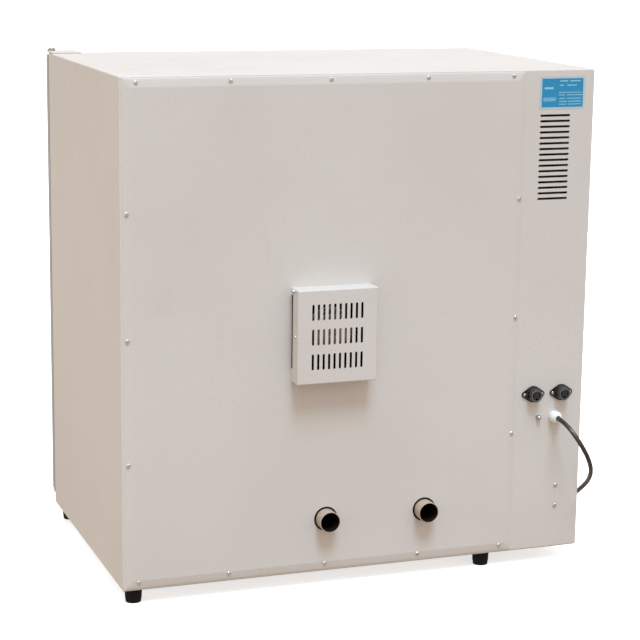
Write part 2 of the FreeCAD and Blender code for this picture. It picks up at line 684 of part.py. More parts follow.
def motor_cover():
    """An open box over the motor, with three rows of ten round-ended slots."""
    tall, wall = S.cover_height / 2, S.thin_sheet
    centre, height = S.cover_across, S.cover_middle
    left, right = COVER_SIDES
    outer = block((left, right), (FIELD_BACK, S.cover_back), (height - tall, height + tall))
    inner = block((left + wall, right - wall), (FIELD_BACK - 1, S.cover_back - wall),
                  (height - tall + wall, height + tall - wall))
    gap = block((right - 4, right + 1), (FIELD_BACK - 1, FIELD_BACK + S.cover_gap),
                (height - tall + 24, height + tall - 12))
    shell = cut(outer, [inner, gap])
    first = centre.value + S.cover_slot_shift.value - S.cover_slot_pitch.value * 4.5
    rows = [height.value + S.cover_row_pitch.value * row for row in (-1, 0, 1)]
    columns = [first + S.cover_slot_pitch.value * i for i in range(10)]
    places = [(x, S.cover_back.value - 3, z) for z in rows for x in columns]
    turn = REARWARD.multiply(Rotation(Vector(0, 0, 1), 90))
    slots = obround(S.cover_slot_length, S.cover_slot_width, 5, places, turn)
    screws = [rod(SMALL_HOLE, (x - 3, FIELD_BACK + y, height + z), 6, ALONG_X) for x, y, z in COVER_SCREWS]
    return node(cut(shell, [slots] + screws, "cover"), "motor_cover")


def vent_tubes():
    """Two tubes from the chamber through the rear wall, flanged inside."""
    reach = REAR + S.vent_reach - INSIDE_BACK
    outer, bore = S.vent_radius, S.vent_bore
    profile = [(bore, -2), (outer + 6, -2), (outer + 6, 0), (outer, 0), (outer, reach), (bore, reach)]
    pair = [moved(turned(profile), x, INSIDE_BACK, S.vent_height, REARWARD) for x in VENTS]
    return node(compound(pair, "tubes"), "vent_tubes")


def vent_grommets():
    inner, outer, reach = S.vent_radius, S.vent_radius + 5, 3
    profile = [(inner, 0), (outer, 0), (outer, 1), (outer - 2, reach), (inner, reach)]
    pair = [moved(turned(profile), x, FIELD_BACK, S.vent_height, REARWARD) for x in VENTS]
    return node(compound(pair, "grommets"), "vent_grommets")


def lozenge(middle, end, reach, depth):
    """A flange of three circles joined by their tangents, from local Z 0 to depth."""
    lean = math.acos((middle - end) / reach)
    arcs = []
    ends = {}
    for side in (1, -1):
        for up in (1, -1):
            direction = Vector(side * math.cos(lean), up * math.sin(lean))
            ends[side, up] = (direction * middle, Vector(side * reach, 0) + direction * end)
    arcs.append(Part.Arc(ends[1, 1][0], Vector(0, middle), ends[-1, 1][0]).toShape())
    arcs.append(Part.makeLine(ends[-1, 1][0], ends[-1, 1][1]))
    arcs.append(Part.Arc(ends[-1, 1][1], Vector(-reach - end, 0), ends[-1, -1][1]).toShape())
    arcs.append(Part.makeLine(ends[-1, -1][1], ends[-1, -1][0]))
    arcs.append(Part.Arc(ends[-1, -1][0], Vector(0, -middle), ends[1, -1][0]).toShape())
    arcs.append(Part.makeLine(ends[1, -1][0], ends[1, -1][1]))
    arcs.append(Part.Arc(ends[1, -1][1], Vector(reach + end, 0), ends[1, 1][1]).toShape())
    arcs.append(Part.makeLine(ends[1, 1][1], ends[1, 1][0]))
    return Part.Face(Part.Wire(arcs)).extrude(Vector(0, 0, depth))


def receptacles():
    """Two round outlets with lozenge flanges and three blade slots each."""
    radius = S.receptacle_radius.value
    flange = lozenge(radius + 3, 5.5, S.receptacle_screw_reach.value, 2)
    reach = S.receptacle_reach.value
    barrel = Part.makeCylinder(radius, 24 + reach - 2, Vector(0, 0, -24))
    nose = Part.makeCone(radius, radius - 2, 2, Vector(0, 0, reach - 2))
    outlet = flange.fuse([barrel, nose])
    deep = reach - 16
    cutters = [
        Part.makeBox(1.8, 7, 20, Vector(-6.35 - 0.9, -2, deep)),
        Part.makeBox(1.8, 8.5, 20, Vector(6.35 - 0.9, -2.5, deep)),
        Part.makeCylinder(2.5, 20, Vector(0, -7, deep)),
    ]
    cutters += [Part.makeCylinder(SMALL_HOLE.value, 6, Vector(S.receptacle_screw_reach.value * side, 0, -1))
                for side in (-1, 1)]
    outlet = outlet.cut(Part.makeCompound(cutters))
    shapes = []
    for x in RECEPTACLES:
        shape = outlet.copy()
        shape.Placement = at(x, REAR, S.receptacle_height, REARWARD)
        shapes.append(shape)
    return node(feature(Part.makeCompound(shapes), "outlets"), "receptacles")


def cord_gland():
    """A nylon gland: thread, hexagon, and a dome nut that tapers to the cord."""
    radius, reach = S.gland_radius, S.gland_reach
    dome = turned([
        (0, -14), (9.6, -14), (9.6, 0), (radius, 0), (radius, reach - 9), (radius - 1, reach - 5),
        (radius - 3, reach - 2), (radius - 5.5, reach), (0, reach)])
    return node(moved(dome, S.gland_across, REAR, S.gland_height, REARWARD), "cord_gland")


def gland_nut():
    radius = 14
    flat = doc.addObject("Part::Prism", "hexagon")
    flat.Polygon = 6
    bind(flat, "Circumradius", radius)
    bind(flat, "Height", 5)
    place(flat, S.gland_across, REAR - SKIN, S.gland_height, FORWARD)
    hole = rod(9.8, (S.gland_across, REAR - SKIN + 1, S.gland_height), 8, FORWARD)
    return node(cut(flat, [hole], "nut"), "gland_nut")


def ground_stud():
    stud = turned([
        (0, -12), (3, -12), (3, 0), (5.6, 0), (5.6, 1), (4.8, 1), (4.8, 5), (3, 5), (3, 9), (0, 9)])
    return node(moved(stud, S.stud_across, REAR, S.stud_height, REARWARD), "ground_stud")


def rating_label():
    half, tall = S.label_width / 2, S.label_height / 2
    plate = block((S.label_across - half, S.label_across + half), (REAR, REAR + 0.4),
                  (S.label_middle - tall, S.label_middle + tall))
    return node(plate, "rating_label")


# ---------------------------------------------------------------- fasteners and feet
def screw(head_radius, head_height, radius, reach):
    """A pan head screw; local Z 0 is the underside of its head."""
    return turned([
        (0, -reach), (radius - 0.6, -reach), (radius, -reach + 1), (radius, 0), (head_radius, 0),
        (head_radius, head_height * 0.5), (head_radius * 0.7, head_height), (0, head_height)])


def pan_head_screws():
    pattern = screw(S.screw_head_radius, S.screw_head_height, S.screw_radius, S.screw_length)
    places = [at(x, PANEL_BACK, z, REARWARD) for x, z in panel_screw_places()]
    places += [at(x, REAR, z, REARWARD) for x, z in STRIP_SCREWS]
    places += [at(x, y, TOP + S.hinge_plate) for x, y in TOP_HINGE_SCREWS]
    places += [at(x, FRONT - S.hinge_plate, z, FORWARD) for x, z in LOW_HINGE_SCREWS]
    return node(copies(pattern, places), "pan_head_screws")


def small_screws():
    pattern = screw(S.small_head_radius, 2, S.small_radius, S.small_length)
    places = [at(x, REAR + 2, S.receptacle_height, REARWARD) for x in RECEPTACLE_SCREWS]
    places += [at(x, FRONT, z, FORWARD) for x, z in FASCIA_SCREWS]
    sideways = Rotation(Vector(0, 1, 0), -90)
    for (x, y, z), turn in zip(COVER_SCREWS, (sideways, ALONG_X, ALONG_X)):
        places.append(at(x, FIELD_BACK + y, S.cover_middle + z, turn))
    return node(copies(pattern, places), "small_screws")


def rubber_feet():
    """Tapered feet with a recess for the bolt head."""
    tall, top, low = S.foot_height, S.foot_top_radius, S.foot_floor_radius
    profile = [(6.5, 0), (low - 1, 0), (low, 1), (top, tall), (3.2, tall), (3.2, 14), (6.5, 14)]
    feet = [moved(turned(profile), x, y, 0) for x, y in FEET]
    return node(compound(feet, "feet"), "rubber_feet")


def foot_bolts():
    profile = [(0, 9), (6, 9), (6, 14), (3, 14), (3, S.foot_height + 10), (0, S.foot_height + 10)]
    bolts = [moved(turned(profile), x, y, 0) for x, y in FEET]
    return node(compound(bolts, "bolts"), "foot_bolts")


# ---------------------------------------------------------------- outer door
def hinge_bracket_top():
    """A plate on the cabinet top that reaches over the door, with its pin."""
    plate = block((RIGHT - 57, RIGHT), (S.hinge_line - 15, FRONT + 32), (TOP, TOP + S.hinge_plate))
    holes = [rod(SCREW_HOLE, (x, y, TOP - 1), S.hinge_plate + 2, UPRIGHT) for x, y in TOP_HINGE_SCREWS]
    radius = S.hinge_pin_radius
    head = TOP + S.hinge_plate + S.hinge_head
    pin = turned([(0, 0), (radius - 1, 0), (radius, 1), (radius, head - S.door_top + 16.6),
                  (radius - 1.5, head - S.door_top + 18), (0, head - S.door_top + 18)])
    moved(pin, S.hinge_across, S.hinge_line, S.door_top - 18)
    return node(fuse([cut(plate, holes), pin], "hinge"), "hinge_bracket_top")


def hinge_bracket_bottom():
    """An angle on the front frame that carries the door on an upright pin."""
    thick = S.hinge_plate
    ledge_top = S.door_bottom - 1
    leg = block((RIGHT - 57, RIGHT - SKIN), (FRONT - thick, FRONT), (BASE + 2, ledge_top))
    ledge = block((RIGHT - 57, RIGHT - SKIN), (S.hinge_line - 12, FRONT), (ledge_top - thick, ledge_top))
    holes = holes_along_y(LOW_HINGE_SCREWS, SCREW_HOLE, FRONT - thick - 1, FRONT + 1)
    pin = rod(S.hinge_pin_radius, (S.hinge_across, S.hinge_line, ledge_top - thick), 20, UPRIGHT)
    return node(fuse([cut(fuse([leg, ledge]), holes), pin], "hinge"), "hinge_bracket_bottom")


def door_box(margin):
    """The door's rounded outer form, shrunk by a margin on every side but the open back."""
    back = S.door_skin_back + margin * 2
    solid = block((S.door_left + margin, RIGHT - margin), (S.door_front + margin, back),
                  (S.door_bottom + margin, S.door_top - margin))
    front, bottom = S.door_front.value + margin, S.door_bottom.value + margin
    edge_radius = S.door_edge_radius.value - margin
    foot_radius = S.door_foot_radius.value - margin

    def radius_of_edge(edge):
        middle = edge.CenterOfMass
        if abs(middle.y - front) > 0.01:
            return 0
        return foot_radius if abs(middle.z - bottom) < 0.01 else edge_radius

    return rounded(solid, radius_of_edge)


def bushing_holes(radius):
    reach = 20
    return [
        rod(radius, (S.hinge_across, S.hinge_line, S.door_top - reach), reach + 1, UPRIGHT),
        rod(radius, (S.hinge_across, S.hinge_line, S.door_bottom - 1), reach + 1, UPRIGHT),
    ]


def door_skin():
    pan = cut(door_box(0), [door_box(S.thin_sheet.value)])
    screws = holes_along_y(HANDLE_SCREWS, 2.7, S.door_front - 1, S.door_front + 3)
    return node(cut(pan, bushing_holes(8) + screws, "skin"), "door_skin")


def handle_screw_places():
    reach = S.handle_length / 2 - S.handle_bar / 2
    return [(S.handle_across, S.fan_height + reach * side) for side in (-1, 1)]


HANDLE_SCREWS = handle_screw_places()
PLUG_LEFT = INSIDE_LEFT + S.plug_gap
PLUG_RIGHT = INSIDE_RIGHT - S.plug_gap
PLUG_FLOOR = INSIDE_FLOOR + S.plug_gap
PLUG_TOP = INSIDE_TOP - S.plug_gap


def door_inner_pan():
    """A flange that closes the door's back, with a raised plug that enters the mouth."""
    wall = S.thin_sheet
    flange = block((S.door_left + 2.5, RIGHT - 2.5), (S.door_skin_back, S.door_flange_back),
                   (S.door_bottom + 2.5, S.door_top - 2.5))
    plug = block((PLUG_LEFT, PLUG_RIGHT), (S.door_skin_back, S.plug_back), (PLUG_FLOOR, PLUG_TOP))
    hollow = block((PLUG_LEFT + wall, PLUG_RIGHT - wall), (S.door_skin_back - 1, S.plug_back - wall),
                   (PLUG_FLOOR + wall, PLUG_TOP - wall))
    return node(cut(fuse([flange, plug]), [hollow] + bushing_holes(8.2), "pan"), "door_inner_pan")


def door_insulation():
    wall, slack = S.thin_sheet, 4
    slab = block((S.door_left + slack, RIGHT - slack), (S.door_front + slack, S.door_skin_back - 0.2),
                 (S.door_bottom + slack + 3, S.door_top - slack))
    core = block((PLUG_LEFT + wall, PLUG_RIGHT - wall), (S.door_skin_back - 1, S.plug_back - wall - 0.2),
                 (PLUG_FLOOR + wall, PLUG_TOP - wall))
    tools = bushing_holes(8.2) + holes_along_y(HANDLE_SCREWS, 5, S.door_front, S.door_front + 20)
    return node(cut(fuse([slab, core]), tools, "foam"), "door_insulation")


def door_gasket():
    """A magnetic strip round the plug, just clear of the front frame."""
    left, right = PLUG_LEFT - S.gasket_width, PLUG_RIGHT + S.gasket_width
    floor, top = PLUG_FLOOR - S.gasket_width, PLUG_TOP + S.gasket_width
    outer = block((left, right), (GASKET_FRONT, FRONT - S.gasket_gap), (floor, top))
    inner = block((PLUG_LEFT, PLUG_RIGHT), (GASKET_FRONT - 1, FRONT + 1), (PLUG_FLOOR, PLUG_TOP))
    return node(cut(outer, [inner], "strip"), "door_gasket")


def door_handle():
    """A squared pull of one bar, padded from its side outline."""
    reach, half, bar = S.handle_reach, S.handle_length / 2, S.handle_bar
    handle = new_body("handle")
    side = sketch_on(handle, "XY_Plane")
    outline(side, [
        (-half, 0), (-half, reach), (half, reach), (half, 0),
        (half - bar, 0), (half - bar, reach - bar), (-half + bar, reach - bar), (-half + bar, 0)])
    bar_pad = pad(handle, side, S.handle_width)
    doc.recompute()
    edges = [f"Edge{i}" for i, edge in enumerate(bar_pad.Shape.Edges, start=1)
             if abs(edge.CenterOfMass.y - reach.value) < 0.01 or
             (abs(edge.tangentAt(edge.FirstParameter).z) > 0.9 and edge.CenterOfMass.y > 1)]
    softened = handle.newObject("PartDesign::Fillet", "softened")
    softened.Base = (bar_pad, edges)
    softened.Radius = 3.5
    handle.Tip = softened
    turn = Rotation(Vector(0, 0, 1), Vector(0, -1, 0), Vector(1, 0, 0), "ZYX")
    moved(handle, S.handle_across - S.handle_width / 2, S.door_front, S.fan_height, turn)
    holes = holes_along_y(HANDLE_SCREWS, 2.2, S.door_front - 12, S.door_front + 1)
    return node(cut(handle, holes, "pull"), "door_handle")


def door_bushings():
    """Nylon bushes for the hinge pins, let into the door's top and bottom."""
    bore = S.hinge_pin_radius + S.running_gap
    profile = [(bore, 0), (8, 0), (8, 20), (bore, 20)]
    pair = [moved(turned(profile), S.hinge_across, S.hinge_line, z) for z in (S.door_top - 20, S.door_bottom)]
    return node(compound(pair, "bushings"), "door_bushings")


# ---------------------------------------------------------------- glass door
def glass_pane():
    left, right = INSIDE_LEFT + S.glass_gap, S.glass_hinge_across - 1
    pane = block((left, right), (S.glass_front, GLASS_BACK),
                 (INSIDE_FLOOR + S.glass_gap, INSIDE_TOP - S.glass_gap))
    eased = rounded(pane, lambda edge: 3 if abs(edge.tangentAt(edge.FirstParameter).y) > 0.9 else 0)
    knob = rod(3.2, (KNOB_ACROSS, S.glass_front - 1, S.fan_height), S.glass_thickness + 2, REARWARD)
    return node(cut(eased, [knob], "pane"), "glass_pane")


KNOB_ACROSS = INSIDE_LEFT + 40


def glass_hinge_straps():
    """Each knuckle turns on a bracket pin and carries a plate bonded to the glass."""
    straps = []
    across, along = S.glass_hinge_across, S.glass_hinge_line
    for low in knuckle_heights():
        heights = (low, low + S.knuckle_length)
        barrel = rod(S.knuckle_radius, (across, along, low), S.knuckle_length, UPRIGHT)
        plate = block((across - 42, across), (S.glass_front - 1.8, S.glass_front), heights)
        bore = S.glass_pin_radius + S.running_gap
        hole = rod(bore, (across, along, low - 1), S.knuckle_length + 2, UPRIGHT)
        straps.append(cut(fuse([barrel, plate]), [hole]))
    return node(compound(straps, "straps"), "glass_hinge_straps")


def glass_knob():
    """A turned knob whose stud passes through the glass to a thin nut."""
    depth = S.glass_thickness
    knob = turned([
        (0, -depth - 1), (7, -depth - 1), (7, -depth), (3, -depth), (3, 0), (7, 0), (6, 4), (9.5, 7),
        (9.5, 11),
        (8.5, 12.5), (0, 12.5)])
    return node(moved(knob, KNOB_ACROSS, S.glass_front, S.fan_height, FORWARD), "glass_knob")


# ---------------------------------------------------------------- shelves
def wire_shelf(index):
    """A frame of square bar with two cross bars and wires running from front to back."""
    left = S.chamber_centre - S.shelf_width / 2
    right = S.chamber_centre + S.shelf_width / 2
    front, back = S.shelf_front, S.shelf_front + S.shelf_depth
    low = shelf_height(index)
    bar, heights = S.shelf_bar, (low, low + S.shelf_bar)
    bars = [
        block((left, right), (front, front + bar), heights),
        block((left, right), (back - bar, back), heights),
        block((left, left + bar), (front, back), heights),
        block((right - bar, right), (front, back), heights),
    ]
    bars += [block((left, right), (front + S.shelf_depth * part, front + S.shelf_depth * part + bar), heights)
             for part in (0.33, 0.66)]
    wires = 23
    pitch = (S.shelf_width - bar) / (wires + 1)
    bars += [rod(S.shelf_wire_radius, (left + bar / 2 + pitch * (i + 1), front + 1, low + bar / 2),
                 S.shelf_depth - 2, REARWARD) for i in range(wires)]
    return node(fuse(bars, "shelf"), f"shelf_{index + 1}")


# ---------------------------------------------------------------- controls
BUTTONS = {"button_set": -1, "button_down": 0, "button_up": 1}
FASCIA_BACK = FRONT + S.fascia_thickness


def control_fascia():
    centre, half = S.control_centre, S.display_width / 2
    plate = block((LEFT + SKIN, DIVIDER - 0.3), (FRONT, FASCIA_BACK), (BASE + SKIN, TOP - SKIN))
    near, far = FRONT - 1, FASCIA_BACK + 1
    tools = [
        block((centre - half, centre + half), (near, far),
              (S.display_height - S.display_tall / 2, S.display_height + S.display_tall / 2)),
        block((centre - 11.3, centre + 11.3), (near, far), (S.switch_height - 16.3, S.switch_height + 16.3)),
    ]
    buttons = [(centre + S.button_pitch * i, S.button_height) for i in BUTTONS.values()]
    tools += holes_along_y(buttons, S.button_radius + S.gasket_gap, near, far)
    lamps = [(centre + side, S.lamp_height) for side in (-15, 15)]
    tools += holes_along_y(lamps, S.lamp_radius + 0.1, near, far)
    tools += holes_along_y([(centre, S.dial_height)], 4, near, far)
    tools += holes_along_y(FASCIA_SCREWS, SMALL_HOLE, near, far)
    return node(cut(plate, tools, "fascia"), "control_fascia")


def display_window():
    half, tall = S.display_width / 2, S.display_tall / 2
    window = block((S.control_centre - half, S.control_centre + half), (FRONT + 0.5, FASCIA_BACK),
                   (S.display_height - tall, S.display_height + tall))
    return node(window, "display_window")


def controller_module():
    """The controller's case behind the display, cut back behind the buttons."""
    centre = S.control_centre
    case = block((centre - 48, centre + 48), (FASCIA_BACK, FASCIA_BACK + 70),
                 (S.button_height - 18, S.display_height + 30))
    room = block((centre - 49, centre + 49), (FASCIA_BACK - 1, FASCIA_BACK + 10.5),
                 (S.button_height - 19, S.button_height + 18))
    return node(cut(case, [room], "case"), "controller_module")


def control_button(name, step):
    """A push button held behind the fascia by its flange."""
    radius = S.button_radius
    button = turned([
        (0, -6), (2, -6), (2, 0.7), (radius + 1.5, 0.7), (radius + 1.5, 1.9), (radius, 1.9),
        (radius, S.fascia_thickness + 4), (radius - 0.8, S.fascia_thickness + 4.8),
        (0, S.fascia_thickness + 4.8)])
    place_y = FASCIA_BACK + 2.2
    across = S.control_centre + S.button_pitch * step
    return node(moved(button, across, place_y, S.button_height, FORWARD), name)


def indicator_lamps():
    radius, deep = S.lamp_radius, S.fascia_thickness
    lens = [
        (0, -deep - 6), (radius, -deep - 6), (radius, 0), (radius + 1, 0), (radius + 1, 1), (radius - 1, 3),
        (0, 3.6)]
    pair = [moved(turned(lens), S.control_centre + side, FRONT, S.lamp_height, FORWARD) for side in (-15, 15)]
    return node(compound(pair, "lamps"), "indicator_lamps")


def overtemp_thermostat():
    bore = 3 + S.running_gap
    case = turned([(0, -30), (18, -30), (18, 0), (bore, 0), (bore, -20), (0, -20)])
    return node(moved(case, S.control_centre, FASCIA_BACK, S.dial_height, FORWARD), "overtemp_thermostat")


def overtemp_knob():
    """A dial with its spindle and a pointer slot."""
    radius = S.dial_radius
    dial = turned([
        (0, -16), (3, -16), (3, 0.6), (radius, 0.6), (radius, 5), (radius - 3, 6), (radius - 4, 16), (0, 16)])
    moved(dial, S.control_centre, FRONT, S.dial_height, FORWARD)
    slot = block((S.control_centre - 0.8, S.control_centre + 0.8), (FRONT - 17, FRONT - 15),
                 (S.dial_height + 2, S.dial_height + 12))
    return node(cut(dial, [slot], "dial"), "overtemp_knob")


def switch_housing():
    centre, height = S.control_centre, S.switch_height
    bezel = block((centre - 13, centre + 13), (FRONT - 2, FRONT), (height - 18.5, height + 18.5))
    case = block((centre - 11.2, centre + 11.2), (FRONT - 2, FRONT + 24), (height - 16.2, height + 16.2))
    well = block((centre - 8.6, centre + 8.6), (FRONT - 3, FRONT + 15), (height - 13.6, height + 13.6))
    return node(cut(fuse([bezel, case]), [well], "housing"), "switch_housing")


def power_rocker():
    """A two-faceted rocker on a short pivot, at rest tipped to its off side."""
    rocker = new_body("rocker")
    side = sketch_on(rocker, "XY_Plane")
    outline(side, [(-12, -8), (0, -5.5), (12, -8), (12, -3), (6, 4), (-6, 4), (-12, -3)])
    pad(rocker, side, 16.4)
    tilt = Rotation(Vector(1, 0, 0), -S.rocker_tilt.value)
    moved(rocker, S.control_centre - 8.2, FRONT + 5, S.switch_height, tilt.multiply(ALONG_X))
    pivot = rod(2, (S.control_centre - 8.5, FRONT + 5, S.switch_height), 17, ALONG_X)
    return node(fuse([rocker, pivot], "rocker"), "power_rocker")


# ---------------------------------------------------------------- power cord
CORD_ROUTE = [
    (-388.6, 309, 284.7), (-389.3, 331, 282.7), (-394.6, 353.4, 271.7), (-406.1, 369.2, 249.8),
    (-422, 371, 222.4), (-438.3, 355.1, 193.9), (-450, 326.2, 166.4), (-458, 286.6, 139.7),
    (-463, 239, 110), (-467, 187, 76), (-468.5, 140, 43.5), (-468, 92, 17), (-470, 44, 6.4),
    (-474, -11, 5.6), (-475, -58, 5.5), (-475.2, -88, 5.45),
]


def power_cord():
    """Straight runs joined by tangent arcs, swept with the cord's round section."""
    points = [Vector(*point) for point in CORD_ROUTE]
    edges = []
    start = points[0]
    radii = []
    for before, corner, after in zip(points, points[1:], points[2:]):
        back, ahead = (before - corner), (after - corner)
        run = min(back.Length, ahead.Length)
        back.normalize()
        ahead.normalize()
        half_turn = (math.pi - back.getAngle(ahead)) / 2
        radius = 0.45 * run / math.tan(half_turn)
        radii.append(radius)
        inward = back + ahead
        inward.normalize()
        enter, leave = corner + back * 0.45 * run, corner + ahead * 0.45 * run
        middle = corner + inward * (radius / math.cos(half_turn) - radius)
        edges.append(Part.makeLine(start, enter))
        edges.append(Part.Arc(enter, middle, leave).toShape())
        start = leave
    edges.append(Part.makeLine(start, points[-1]))
    route = Part.Wire(edges)
    section = Part.Wire(Part.makeCircle(S.cord_radius.value, points[0], points[1] - points[0]))
    tube = route.makePipeShell([section], True, False)
    expected = math.pi * S.cord_radius.value ** 2 * route.Length
    print("cord radii:", " ".join(f"{radius:.0f}" for radius in radii))
    print(f"cord tube: length {route.Length:.1f}, volume {tube.Volume:.0f}, section x length {expected:.0f}")
    return node(feature(tube, "tube"), "power_cord")


def cord_coil():
    """The outer shape of the put-away turns."""
    inner = S.coil_mid_radius - S.coil_band / 2
    outer = S.coil_mid_radius + S.coil_band / 2
    ring_body = turned([(inner, 0), (outer, 0), (outer, S.coil_height), (inner, S.coil_height)])
    return node(moved(ring_body, S.coil_across, S.coil_along, S.coil_floor), "cord_coil")


def cord_tie():
    """A band round the coil's section."""
    near = S.coil_across - S.coil_mid_radius
    half = S.coil_band / 2 + 0.3
    along = (S.coil_along - S.tie_width / 2, S.coil_along + S.tie_width / 2)
    low, high = S.coil_floor - 0.2, S.coil_floor + S.coil_height + 0.2
    outer = block((near - half - 1, near + half + 1), along, (low - 1, high + 1))
    inner = block((near - half, near + half), (S.coil_along - 20, S.coil_along + 20), (low, high))
    return node(cut(outer, [inner], "tie"), "cord_tie")


def plug():
    """A moulded plug lying beside the coil, with its last run of cord, two blades and an earth pin."""
    across = S.coil_across + S.coil_mid_radius + 18
    back = S.coil_along - 34
    middle = S.plug_tall / 2 + 0.5
    half, tall, reach = S.plug_width / 2, S.plug_tall / 2, S.plug_length
    grip = block((across - half, across + half), (back - reach, back), (middle - tall, middle + tall))
    grip = rounded(grip, lambda edge: 5 if abs(edge.tangentAt(edge.FirstParameter).y) > 0.9 else 0)
    relief = rod(6, (across, back + 12, middle), 14, FORWARD)
    front = (back - reach - 17, back - reach + 2)
    prongs = [
        block((across - 7.1, across - 5.6), front, (middle - 1, middle + 5.4)),
        block((across + 5.6, across + 7.1), front, (middle - 1, middle + 5.4)),
        rod(2.4, (across, back - reach + 2, middle - 6), 21, FORWARD),
    ]
    tail = rod(S.cord_radius, (across, back + 10, middle), 28, TO_COIL)
    return node(fuse([grip, relief, tail] + prongs, "plug"), "plug")


# ---------------------------------------------------------------- assembly
def build():
    for make in (
        outer_shell, base_pan, front_frame, compartment_divider, chamber_liner, insulation_batts,
        glass_door_gasket, glass_hinge_brackets, shelf_standards, shelf_runners, air_baffle,
        heater_element, temperature_probe, motor_housing, motor_bushings, motor_bracket, motor_cover,
        motor_shaft, fan_wheel, rear_panel, vent_tubes, vent_grommets, receptacles, cord_gland,
        gland_nut, ground_stud, rating_label, pan_head_screws, small_screws, rubber_feet, foot_bolts,
        hinge_bracket_top, hinge_bracket_bottom, door_skin, door_inner_pan, door_insulation,
        door_gasket, door_handle, door_bushings, glass_pane, glass_hinge_straps, glass_knob,
        control_fascia, display_window, controller_module, indicator_lamps, overtemp_thermostat,
        overtemp_knob, switch_housing, power_rocker, power_cord, cord_coil, cord_tie, plug,
    ):
        make()
    for index in range(SHELVES):
        wire_shelf(index)
    for name, step in BUTTONS.items():
        control_button(name, step)
    doc.recompute()


def check():
    """Stops before anything is written if an object failed or a shape is bad."""
    for item in doc.Objects:
        if "Invalid" in item.State or "Error" in item.State:
            raise RuntimeError(f"{item.Name} ({item.Label}) has state {item.State}")
    for piece in NODES:
        shape = piece.Shape
        if shape.isNull() or not shape.isValid() or not shape.Solids:
            raise RuntimeError(f"{piece.Label} has a bad shape")


def export():
    os.makedirs("parts", exist_ok=True)
    for piece in NODES:
        piece.Shape.exportStep(f"parts/{piece.Label}.step")
    box = FreeCAD.BoundBox()
    for piece in NODES:
        box.add(piece.Shape.BoundBox)
    print(f"{len(NODES)} nodes, box {box.XLength:.1f} x {box.YLength:.1f} x {box.ZLength:.1f}")


build()
check()
export()
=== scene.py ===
"""Laboratory incubator: cord, camera, light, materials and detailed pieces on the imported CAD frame.

The frame is in metres. The doors face -Y, the rear panel faces +Y, and +X is the hinge side. Shapes are
built in millimetres in that same frame, and piece() scales them.
"""
import json
import math

import bmesh
import bpy
from mathutils import Matrix, Vector
from mathutils.geometry import delaunay_2d_cdt

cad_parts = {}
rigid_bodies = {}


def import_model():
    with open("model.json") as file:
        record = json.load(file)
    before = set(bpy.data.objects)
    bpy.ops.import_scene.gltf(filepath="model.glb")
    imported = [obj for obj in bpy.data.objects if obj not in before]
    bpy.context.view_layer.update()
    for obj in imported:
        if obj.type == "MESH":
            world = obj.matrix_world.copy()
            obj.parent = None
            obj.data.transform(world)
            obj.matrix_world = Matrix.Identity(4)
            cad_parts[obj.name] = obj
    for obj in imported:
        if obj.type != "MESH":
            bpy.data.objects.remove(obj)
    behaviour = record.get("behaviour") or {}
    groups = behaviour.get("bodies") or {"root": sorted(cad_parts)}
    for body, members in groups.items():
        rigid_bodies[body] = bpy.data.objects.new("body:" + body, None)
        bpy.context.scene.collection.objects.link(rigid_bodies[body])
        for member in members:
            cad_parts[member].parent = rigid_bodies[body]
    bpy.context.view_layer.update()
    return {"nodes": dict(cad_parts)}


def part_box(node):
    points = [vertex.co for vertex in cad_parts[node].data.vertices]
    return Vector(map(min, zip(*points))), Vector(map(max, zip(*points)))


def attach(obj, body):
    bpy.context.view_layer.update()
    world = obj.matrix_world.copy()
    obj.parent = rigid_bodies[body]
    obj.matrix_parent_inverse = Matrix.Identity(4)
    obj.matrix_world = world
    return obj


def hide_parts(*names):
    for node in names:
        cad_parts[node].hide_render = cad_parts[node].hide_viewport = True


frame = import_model()
MM = 0.001
REAR_FACE, PANEL_FACE, FIELD_FACE = 291, 292, 294.5
FRONT_FACE, TOP_FACE, BASE_FACE = -267, 934, 28
CABINET_HALF_WIDTH = 445


def add_object(name, data):
    obj = bpy.data.objects.new(name, data)
    bpy.context.collection.objects.link(obj)
    return obj


def smooth_step(value, low, high):
    part = min(1, max(0, (value - low) / (high - low)))
    return part * part * (3 - 2 * part)


# ---- camera
CAMERA_PLACE, CAMERA_AIM = (1.2335, 3.4652, 1.2081), (-0.3337, -0.9199, -0.2060)
CAMERA_ROLL, LENS, SENSOR_WIDTH = -0.77, 109.2, 36


def add_camera():
    """The photograph's viewpoint: behind the cabinet on the hinge side, a little above its top."""
    forward = Vector(CAMERA_AIM).normalized()
    right = forward.cross(Vector((0, 0, 1))).normalized()
    down = forward.cross(right)
    roll = math.radians(CAMERA_ROLL)
    tilted_right = right * math.cos(roll) + down * math.sin(roll)
    tilted_down = down * math.cos(roll) - right * math.sin(roll)
    data = bpy.data.cameras.new("camera")
    data.lens = LENS
    data.sensor_width = SENSOR_WIDTH
    data.clip_end = 60
    camera = add_object("camera", data)
    axes = Matrix((tilted_right, -tilted_down, -forward)).transposed().to_4x4()
    camera.matrix_world = Matrix.Translation(CAMERA_PLACE) @ axes
    bpy.context.scene.camera = camera


